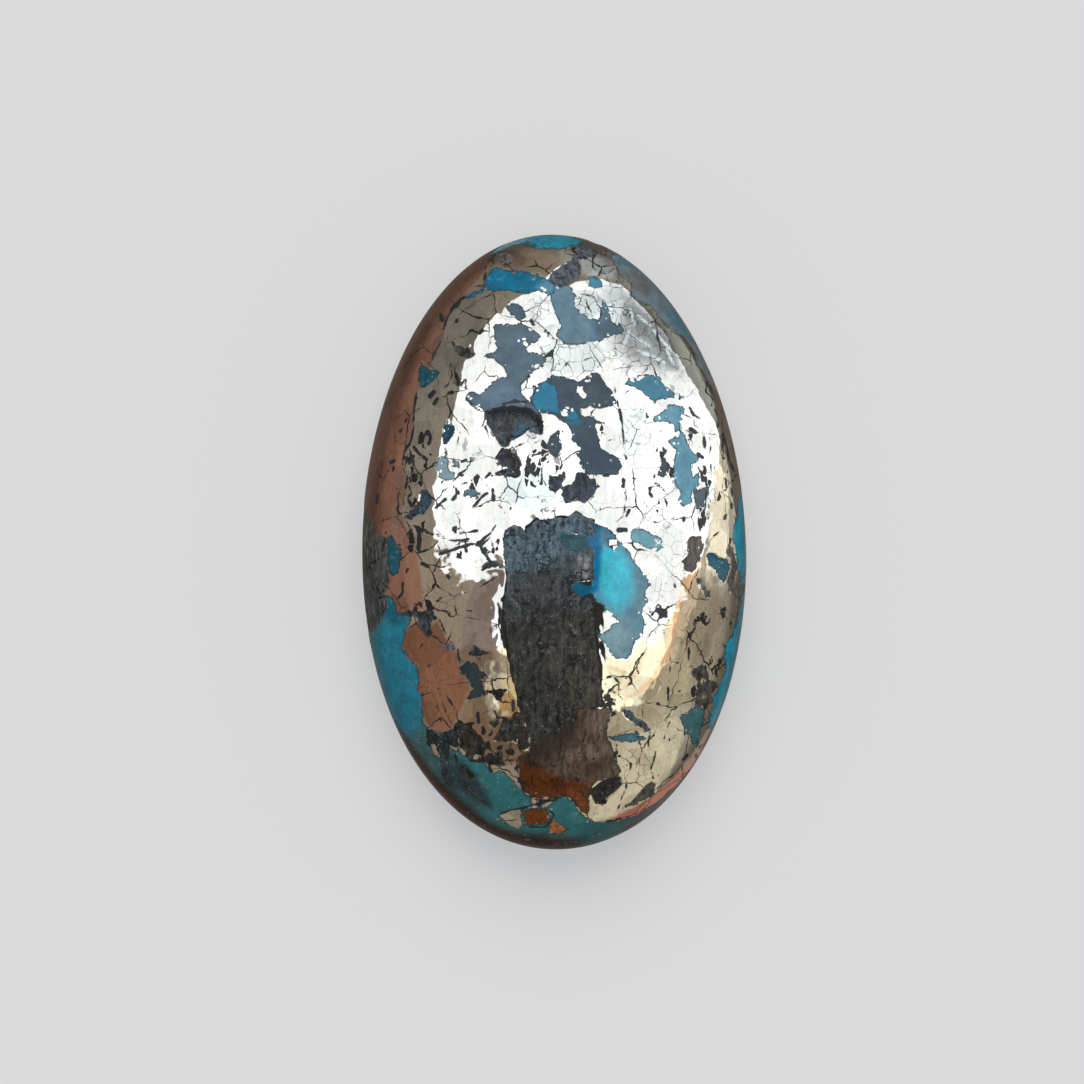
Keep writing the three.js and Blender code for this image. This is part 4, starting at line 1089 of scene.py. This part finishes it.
# Places on the stone in millimetres, and the same places pushed about a little and a lot
PER_METRE = (1000, 1000, 1000)
SMALL_PUSH = (0.4, 0.4, 0.4)
BIG_PUSH = (1.4, 1.4, 1.4)
NO_PUSH = (0.5, 0.5, 0.5)
spot = stretch(add_node(tree, "ShaderNodeTexCoord").outputs["Object"], PER_METRE)
push = vector("SUBTRACT", {0: noise(spot, per_mm=1.6, roughness=0.6, output="Color"), 1: NO_PUSH})
pushed = vector("MULTIPLY_ADD", {0: push, 1: SMALL_PUSH, 2: spot})
far_pushed = vector("MULTIPLY_ADD", {0: push, 1: BIG_PUSH, 2: spot})

# Ragged borders: a slow wander, and small grains that fall to one side or the other
EDGE_SOFTNESS = 0.02
wander = scaled(noise(spot, per_mm=2.4, detail=3.0, roughness=0.6), by=0.30, plus=-0.15)
grain_choice = parts_of(cells(pushed, per_mm=4.0, output="Color"))[0]
grain_side = scaled(grain_choice, by=0.10, plus=-0.05)
ragged = sum_of(wander, grain_side)

# Crumbs of pyrite near the borders of the rock
crumb = cells(pushed, per_mm=3.4, output="Distance")
crumb_size = scaled(noise(spot, per_mm=1.1, detail=1.0), by=1.2, plus=-0.50)


def inside(depth):
    return ramp(depth, none_at=-EDGE_SOFTNESS, full_at=EDGE_SOFTNESS)


def rock_mask(name):
    """How far inside a rock each place is once its border is ragged, and the rock's mask."""
    depth = sum_of(attribute(name), ragged)
    near_border = ramp(depth, none_at=0.34, full_at=0.20)
    is_crumb = times(below(crumb, crumb_size, softness=0.04), near_border)
    return depth, most(less(inside(depth), is_crumb), 0.0)


turquoise_in, turquoise_mask = rock_mask("turquoise_depth")
slate_in, slate_mask = rock_mask("slate_depth")
matrix_mask = inside(sum_of(attribute("matrix_depth"), ragged))
vein_swell = scaled(noise(spot, per_mm=1.3, detail=1.0), by=0.16, plus=-0.08)
vein_in = sum_of(attribute("vein_depth"), vein_swell)
vein_mask = inside(scaled(ragged, by=0.35, plus=vein_in))

# Cracks through the pyrite: a wide net of fine lines that come and go, and a closer one in
# the crazed places
crazed = attribute("crazed")
crack_width = scaled(noise(spot, per_mm=0.9), by=0.062, plus=-0.024)
crack_mask = below(net(pushed, per_mm=0.42), crack_width, softness=0.006)
craze_width = scaled(noise(spot, per_mm=1.2), by=scaled(crazed, by=0.030, plus=0.052), plus=-0.018)
craze_mask = below(net(pushed, per_mm=1.7), craze_width, softness=0.018)
craze_mask = times(craze_mask, scaled(crazed, by=0.50, plus=0.35))
cracks = most(crack_mask, craze_mask)

# Small dark flecks left between the pyrite's grains, long along the stone
fleck_size = scaled(noise(spot, per_mm=0.7), by=0.62, plus=-0.27)
fleck = cells(stretch(pushed, (1.0, 0.6, 1.0)), per_mm=2.0, output="Distance")
fleck_mask = below(fleck, fleck_size, softness=0.03)

# Sharp chips of matrix in the chipped places: some cells of a net, drawn out along the stone
CHIPS_PER_MM = 2.2
chip_spot = stretch(pushed, (1.6, 0.8, 1.6))
chip_choice = parts_of(cells(chip_spot, CHIPS_PER_MM, "Color"))[0]
chip_pick = less(times(attribute("chipped"), 0.6), chip_choice)
chip_inside = ramp(net(chip_spot, CHIPS_PER_MM), none_at=0.03, full_at=0.08)
chip_mask = times(ramp(chip_pick, none_at=-0.01, full_at=0.01), chip_inside)
dark_lines = most(cracks, fleck_mask, chip_mask)

# Pyrite: pale brass, some grains darker than others, with faint drawn streaks, and tinted in places
# with painted reflections
grain_shade = parts_of(cells(pushed, per_mm=0.75, output="Color"))[0]
dull_grain = ramp(grain_shade, none_at=0.55, full_at=0.15)
grain_tone = scaled(dull_grain, by=-0.22, plus=1.04)
streaks = noise(stretch(spot, (3.0, 0.5, 3.0)), per_mm=1.6, detail=3.0, roughness=0.6)
streak_tone = scaled(streaks, by=0.44, plus=0.76)
pyrite = lighten(attribute("pyrite_colour_and_reflections", "Color"), times(grain_tone, streak_tone))

# Turquoise: cloudy, with small pale flecks, thin pale wisps and dark specks, and darker along
# its border
PALE_FLECK = (0.10, 0.22, 0.25, 1)
PALE_WISP = (0.16, 0.34, 0.38, 1)
DARK_SPECK = (0.010, 0.020, 0.022, 1)
RIM_DARK = (0.008, 0.011, 0.014, 1)
RIM_STRENGTH = 0.8
clouds = noise(spot, per_mm=1.4, detail=4.0, roughness=0.65)
blotches = noise(spot, per_mm=2.6, detail=3.0, roughness=0.7)
flecks = noise(pushed, per_mm=4.5)
wisp_field = noise(far_pushed, per_mm=1.1, detail=3.0, roughness=0.6)
wisp_offset = maths(tree, "ABSOLUTE", less(wisp_field, 0.5))
wisp_mask = ramp(wisp_offset, none_at=0.012, full_at=0.004)
wisp_mask = times(wisp_mask, ramp(blotches, none_at=0.48, full_at=0.58))
turquoise = lighten(attribute("turquoise_tint", "Color"), scaled(clouds, by=1.3, plus=0.35))
pale_mask = ramp(flecks, none_at=0.66, full_at=0.80)
dark_mask = ramp(flecks, none_at=0.33, full_at=0.25)
turquoise = lay_over(turquoise, PALE_FLECK, pale_mask, strength=0.22)
turquoise = lay_over(turquoise, PALE_WISP, wisp_mask, strength=0.22)
turquoise = lay_over(turquoise, DARK_SPECK, dark_mask, strength=0.6)


def with_dark_rim(colour, depth):
    return lay_over(colour, RIM_DARK, ramp(depth, none_at=0.09, full_at=0.03), RIM_STRENGTH)


turquoise = with_dark_rim(turquoise, turquoise_in)

# Slate: turquoise greyed by fine matrix, and fibrous and cracked where its tint is redder than it is
# blue, which is mostly the brown and orange at the foot, painted warm reflections
REDDISH_CRACK = (0.008, 0.007, 0.006, 1)
slate_tint = attribute("slate_tint", "Color")
redder = less(parts_of(slate_tint)[0], parts_of(slate_tint)[2])
reddish = ramp(redder, none_at=0.002, full_at=0.012)
fibres = noise(stretch(pushed, (4.5, 0.6, 4.5)), per_mm=1.0, detail=4.0, roughness=0.75)
reddish_tone = most(scaled(fibres, by=3.4, plus=-0.70), 0.30)
slate_tone = blend_values(reddish, scaled(clouds, by=1.5, plus=0.25), reddish_tone)
slate = lighten(slate_tint, slate_tone)
slate = lay_over(slate, REDDISH_CRACK, times(cracks, reddish), strength=0.8)
slate = with_dark_rim(slate, slate_in)

# Matrix: dark, blotched and drawn out along the stone in fibres, with thin black wriggles between
# its grains, and pale wisps and crumbs in it. The painted dark reflection column is coloured the
# same way
WRIGGLE_BLACK = (0.003, 0.003, 0.003, 1)
MATRIX_WISP = (0.100, 0.110, 0.112, 1)
MATRIX_CRUMB = (0.10, 0.105, 0.10, 1)
matrix_tone = scaled(blotches, by=2.6, plus=scaled(fibres, by=6.0, plus=-3.1))
matrix = lighten(attribute("matrix_tint", "Color"), most(matrix_tone, 0.10))
wriggle_width = scaled(noise(spot, per_mm=0.8, detail=1.0), by=0.22, plus=-0.085)
wriggle = net(stretch(far_pushed, (1.3, 0.6, 1.3)), per_mm=1.1)
wriggle_mask = below(wriggle, wriggle_width, softness=0.03)
matrix = lay_over(matrix, WRIGGLE_BLACK, wriggle_mask, strength=0.9)
matrix = lay_over(matrix, MATRIX_WISP, wisp_mask, strength=0.55)
crumb_field = noise(pushed, per_mm=5.0, roughness=0.6)
crumb_mask = ramp(crumb_field, none_at=0.64, full_at=0.74)
matrix = lay_over(matrix, MATRIX_CRUMB, crumb_mask, strength=0.5)

# All that is not pyrite, laid one over the other
CRACK_DARK = (0.008, 0.008, 0.008, 1)
VEIN_DARK = (0.010, 0.011, 0.013, 1)
rock_colour = lay_over(CRACK_DARK, slate, slate_mask)
rock_colour = lay_over(rock_colour, turquoise, turquoise_mask)
rock_colour = lay_over(rock_colour, matrix, matrix_mask)
rock_colour = lay_over(rock_colour, VEIN_DARK, vein_mask)
not_pyrite = most(turquoise_mask, slate_mask, matrix_mask, vein_mask, dark_lines)

# Roughness: a mirror on the pyrite, a softer gloss on the rock, and a fine ground back
ROCK_GLOSS = 0.12
MATRIX_GLOSS = 0.30
GROUND_PYRITE = 0.5
GROUND_ROCK = 0.6
on_ground_back = attribute("back_share")
mirror = scaled(ramp(streaks, none_at=0.45, full_at=0.75), by=0.06, plus=0.015)
mirror = blend_values(on_ground_back, mirror, GROUND_PYRITE)
gloss = blend_values(matrix_mask, ROCK_GLOSS, MATRIX_GLOSS)
gloss = blend_values(on_ground_back, gloss, GROUND_ROCK)

# Fine relief: grain in the matrix, and the faintest drawn waves in the polish
GRAIN_HEIGHT = 0.05
WAVE_HEIGHT = 0.035
grain = noise(stretch(spot, (1.0, 0.4, 1.0)), per_mm=5.0, detail=3.0, roughness=0.7)
grain = times(grain, ramp(attribute("matrix_depth"), none_at=0.0, full_at=0.2))
waves = noise(stretch(spot, (1.0, 0.6, 1.0)), per_mm=0.9)
rock_relief = add_node(tree, "ShaderNodeBump", {
    "Height": times(grain, GRAIN_HEIGHT), "Strength": 0.8, "Distance": MM})
pyrite_relief = add_node(tree, "ShaderNodeBump", {
    "Height": times(waves, WAVE_HEIGHT), "Strength": 1.0, "Distance": MM})

pyrite_surface = add_node(tree, "ShaderNodeBsdfPrincipled", {
    "Base Color": pyrite, "Metallic": 1.0, "Roughness": mirror,
    "Normal": pyrite_relief.outputs[0]})
rock_surface = add_node(tree, "ShaderNodeBsdfPrincipled", {
    "Base Color": rock_colour, "Roughness": gloss, "IOR": 1.5, "Specular IOR Level": 0.22,
    "Normal": rock_relief.outputs[0]})
surface = add_node(tree, "ShaderNodeMixShader", {0: not_pyrite})
tree.links.new(pyrite_surface.outputs[0], surface.inputs[1])
tree.links.new(rock_surface.outputs[0], surface.inputs[2])
output = add_node(tree, "ShaderNodeOutputMaterial")
tree.links.new(surface.outputs[0], output.inputs["Surface"])
stone.data.materials.append(polish)

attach(stone, "root")
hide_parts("stone")


# The floor
#
# A plain pale sheet that the stone lies on, lit softly from behind so that shadows on it stay
# faint. It is kept out of mirrored light, so that the polish shows the studio alone.

FLOOR_SIZE = 3.0
FLOOR_GAP = 0.00002
FLOOR_ROUGHNESS = 0.9
FLOOR_COLOUR = (0.168, 0.164, 0.156, 1)
FLOOR_GLOW = (0.395, 0.398, 0.402, 1)
bpy.ops.object.select_all(action="DESELECT")
bpy.ops.mesh.primitive_plane_add(size=FLOOR_SIZE, location=(0, 0, -FLOOR_GAP))
floor = bpy.context.active_object
floor.name = "floor"
floor.visible_glossy = False
paper = bpy.data.materials.new("pale paper")
paper.use_nodes = True
matt = paper.node_tree.nodes["Principled BSDF"].inputs
matt["Base Color"].default_value = FLOOR_COLOUR
matt["Roughness"].default_value = FLOOR_ROUGHNESS
matt["Specular IOR Level"].default_value = 0.0
matt["Emission Color"].default_value = FLOOR_GLOW
matt["Emission Strength"].default_value = 1.0
floor.data.materials.append(paper)


# The light
#
# A soft studio all round: a big white softbox leaning in from the upper right, warm cards
# below and beside it, a dark card in front, and a wide soft lamp beyond the narrower end.
# Directions are read as on a disc seen from below: 0 is straight up and 1 is the horizon.

world = bpy.data.worlds.new("soft studio")
bpy.context.scene.world = world
world.use_nodes = True
sky = world.node_tree
sky.nodes.clear()
direction = add_node(sky, "ShaderNodeTexCoord").outputs["Generated"]
parts = add_node(sky, "ShaderNodeSeparateXYZ", {0: direction})
STRAIGHT_DOWN = 0.02
opened = maths(sky, "ADD", parts.outputs["Z"], 1.0)
opened = maths(sky, "MAXIMUM", opened, STRAIGHT_DOWN)
across = maths(sky, "DIVIDE", parts.outputs["X"], opened)
ahead = maths(sky, "DIVIDE", parts.outputs["Y"], opened)


def beyond(start, end, softness):
    """The side to the left of a line from its start to its end."""
    run, climb = end[0] - start[0], end[1] - start[1]
    length = math.hypot(run, climb)
    offset = (climb * start[0] - run * start[1]) / length
    side = maths(sky, "MULTIPLY_ADD", across, -climb / length, offset)
    side = maths(sky, "MULTIPLY_ADD", ahead, run / length, side)
    return between(sky, -softness, softness, side)


def card(light, corners, softness, colour):
    """Hangs a card. Its corners go round against the clock, with no corner pointing in."""
    mask = 1.0
    for start, end in zip(corners, corners[1:] + corners[:1]):
        mask = maths(sky, "MULTIPLY", mask, beyond(start, end, softness))
    return blend_colours(sky, mask, light, (*colour, 1))


# Every card from the back ones to the front ones: its corners, how softly its edge fades, and
# its light. A corner at FAR is out of sight.
FAR = 9
SOFTBOX = (1.90, 2.07, 2.38)
NEARLY_BLACK = (0.045, 0.045, 0.047)
ROOM = (0.44, 0.41, 0.36, 1)
ROOM_CARDS = {
    "left wall": ([(-FAR, -FAR), (-0.66, -FAR), (-0.66, FAR), (-FAR, FAR)], 0.10,
                  (0.36, 0.28, 0.24)),
    "far wall": ([(-FAR, 0.70), (FAR, 0.70), (FAR, FAR), (-FAR, FAR)], 0.08,
                 (0.32, 0.27, 0.23)),
    "far grey": ([(0.10, 0.76), (0.80, 0.70), (0.90, 1.6), (0.10, 1.6)], 0.06,
                 (0.44, 0.44, 0.42)),
    "left grey": ([(-0.95, 0.0), (-0.36, 0.0), (-0.36, 0.50), (-0.95, 0.50)], 0.05,
                  (0.36, 0.34, 0.31)),
    "far left grey": ([(-0.95, 0.30), (-0.34, 0.30), (-0.30, 0.75), (-0.95, 0.75)], 0.08,
                      (0.275, 0.265, 0.25)),
    "right wall": ([(0.62, -0.7), (FAR, -0.7), (FAR, 0.05), (0.62, 0.05)], 0.05,
                   (0.50, 0.455, 0.39)),
    "near left tan": ([(-0.66, -0.9), (-0.10, -0.9), (-0.10, 0.03), (-0.66, 0.03)], 0.03,
                      (0.43, 0.36, 0.31)),
    "near right tan": ([(0.10, -1.0), (0.66, -1.0), (0.66, -0.12), (0.10, -0.12)], 0.05,
                       (0.60, 0.545, 0.42)),
    "near right cream": ([(0.20, -1.0), (1.05, -1.0), (0.85, -0.36), (0.42, -0.30),
                          (0.20, -0.34)], 0.07, (0.86, 0.81, 0.66)),
}
# Towards the horizon the studio is dim, but for these
HORIZON_CARDS = {
    "far right blue": ([(0.9, 0.42), (1.75, 0.45), (2.0, 0.80), (0.8, 0.95)], 0.10,
                       (0.52, 0.56, 0.57)),
    "right warm": ([(0.70, -0.05), (1.9, -0.05), (2.0, 0.16), (1.9, 0.40), (1.1, 0.40)], 0.06,
                   (0.72, 0.70, 0.62)),
    "right bright": ([(0.70, -0.04), (1.18, -0.03), (1.30, 0.05), (1.62, 0.25), (1.10, 0.26)],
                     0.02, (1.52, 1.45, 1.29)),
    "near right brown": ([(0.55, -1.15), (0.45, -2.0), (3.5, -3.5), (3.5, -1.15)], 0.10,
                         (0.38, 0.30, 0.26)),
}
# The softbox with its warm borders, and what stands before it
SOFTBOX_CARDS = {
    "brown corner": ([(-0.32, -0.20), (-0.12, -0.18), (-0.12, -0.02), (-0.22, 0.00)], 0.006,
                     (0.36, 0.30, 0.29)),
    "cream border": ([(0.10, -0.24), (0.24, -0.235), (0.37, -0.20), (0.45, -0.14),
                      (0.60, -0.02), (0.10, -0.02)], 0.008, (1.80, 1.80, 1.52)),
    "peach border": ([(0.36, -0.17), (0.48, -0.15), (0.70, -0.01), (0.50, -0.02)], 0.012,
                     (1.00, 0.85, 0.68)),
    "softbox left": ([(-0.41, 0.025), (-0.26, -0.012), (0.13, -0.012), (0.13, 0.66),
                      (-0.18, 0.53), (-0.41, 0.38)], 0.004, SOFTBOX),
    "softbox right": ([(0.12, -0.02), (0.66, -0.02), (1.02, 0.14), (1.02, 0.50), (0.52, 0.80),
                       (0.28, 0.73), (0.12, 0.65)], 0.005, SOFTBOX),
    "softbox tip": ([(0.95, 0.105), (1.32, 0.285), (1.66, 0.42), (1.66, 0.50), (0.95, 0.52)],
                    0.008, SOFTBOX),
    "softbox foot": ([(0.10, -0.188), (0.21, -0.160), (0.43, -0.078), (0.67, -0.02),
                      (0.10, -0.01)], 0.004, SOFTBOX),
    "ivory strip": ([(-0.20, -0.275), (-0.09, -0.275), (-0.085, -0.165), (-0.15, -0.17)], 0.008,
                    (1.08, 1.02, 0.90)),
    "white strip": ([(-0.110, -0.145), (-0.085, -0.145), (-0.085, 0.0), (-0.134, 0.0)], 0.003,
                    SOFTBOX),
    "dark card": ([(-0.088, -0.25), (0.112, -0.25), (0.130, -0.05), (0.120, 0.012),
                   (-0.088, 0.012)], 0.004, NEARLY_BLACK),
    "dark card's edge": ([(0.10, -0.065), (0.148, -0.055), (0.148, 0.015), (0.10, 0.012)],
                         0.003, NEARLY_BLACK),
    "brown card": ([(-0.15, -0.52), (0.18, -0.52), (0.125, -0.25), (-0.12, -0.25)], 0.012,
                   (0.155, 0.115, 0.088)),
}


def hang(light, cards):
    for corners, softness, colour in cards.values():
        light = card(light, corners, softness, colour)
    return light


HORIZON_LIGHT = (0.10, 0.085, 0.075, 1)
DIM_FROM = 0.95
DIM_TO = 1.8
DIM_SHARE = 0.8
light = hang(ROOM, ROOM_CARDS)
outward = maths(sky, "SQRT", maths(sky, "ADD", maths(sky, "MULTIPLY", across, across),
                                   maths(sky, "MULTIPLY", ahead, ahead)))
dimming = maths(sky, "MULTIPLY", between(sky, DIM_FROM, DIM_TO, outward), DIM_SHARE)
light = blend_colours(sky, dimming, light, HORIZON_LIGHT)
light = hang(light, HORIZON_CARDS)
light = hang(light, SOFTBOX_CARDS)

# The polish shows the cards. What is matt is lit evenly, as by all of them together, and seen
# straight the studio is as plain and pale as the floor.
EVEN_LIGHT = (0.986, 1.035, 1.141, 1)
BACKDROP = (0.708, 0.708, 0.708, 1)
shown = add_node(sky, "ShaderNodeBackground", {"Color": light})
even = add_node(sky, "ShaderNodeBackground", {"Color": EVEN_LIGHT})
backdrop = add_node(sky, "ShaderNodeBackground", {"Color": BACKDROP})
ray = add_node(sky, "ShaderNodeLightPath")
plain = add_node(sky, "ShaderNodeMixShader", {0: ray.outputs["Is Camera Ray"]})
sky.links.new(even.outputs[0], plain.inputs[1])
sky.links.new(backdrop.outputs[0], plain.inputs[2])
studio = add_node(sky, "ShaderNodeMixShader", {0: ray.outputs["Is Glossy Ray"]})
sky.links.new(plain.outputs[0], studio.inputs[1])
sky.links.new(shown.outputs[0], studio.inputs[2])
sky_output = add_node(sky, "ShaderNodeOutputWorld")
sky.links.new(studio.outputs[0], sky_output.inputs["Surface"])
world.cycles.sampling_method = "NONE"

# The lamp lights the floor and the rock. The polish does not show it.
LAMP_POWER = 3.4
LAMP_WIDTH = math.radians(50)
LAMP_TILT = math.radians(-38)
LAMP_PLACE = (0, 0.2, 0.25)
LIGHT_BOUNCES = 4
bpy.ops.object.light_add(type="SUN", location=LAMP_PLACE, rotation=(LAMP_TILT, 0, 0))
lamp = bpy.context.active_object
lamp.data.energy = LAMP_POWER
lamp.data.angle = LAMP_WIDTH
lamp.visible_glossy = False
bpy.context.scene.cycles.max_bounces = LIGHT_BOUNCES


# The camera
#
# Straight above the stone, with a long lens, so that the face is seen as it was drawn.

LENS = 159.4
SENSOR_WIDTH = 36
CAMERA_HEIGHT = 0.2521
CAMERA_ASIDE = -0.000625
bpy.ops.object.camera_add(location=(CAMERA_ASIDE, 0, CAMERA_HEIGHT), rotation=(0, 0, 0))
camera = bpy.context.active_object
camera.data.lens = LENS
camera.data.sensor_width = SENSOR_WIDTH
bpy.context.scene.camera = camera
bpy.context.scene.view_settings.view_transform = "Standard"
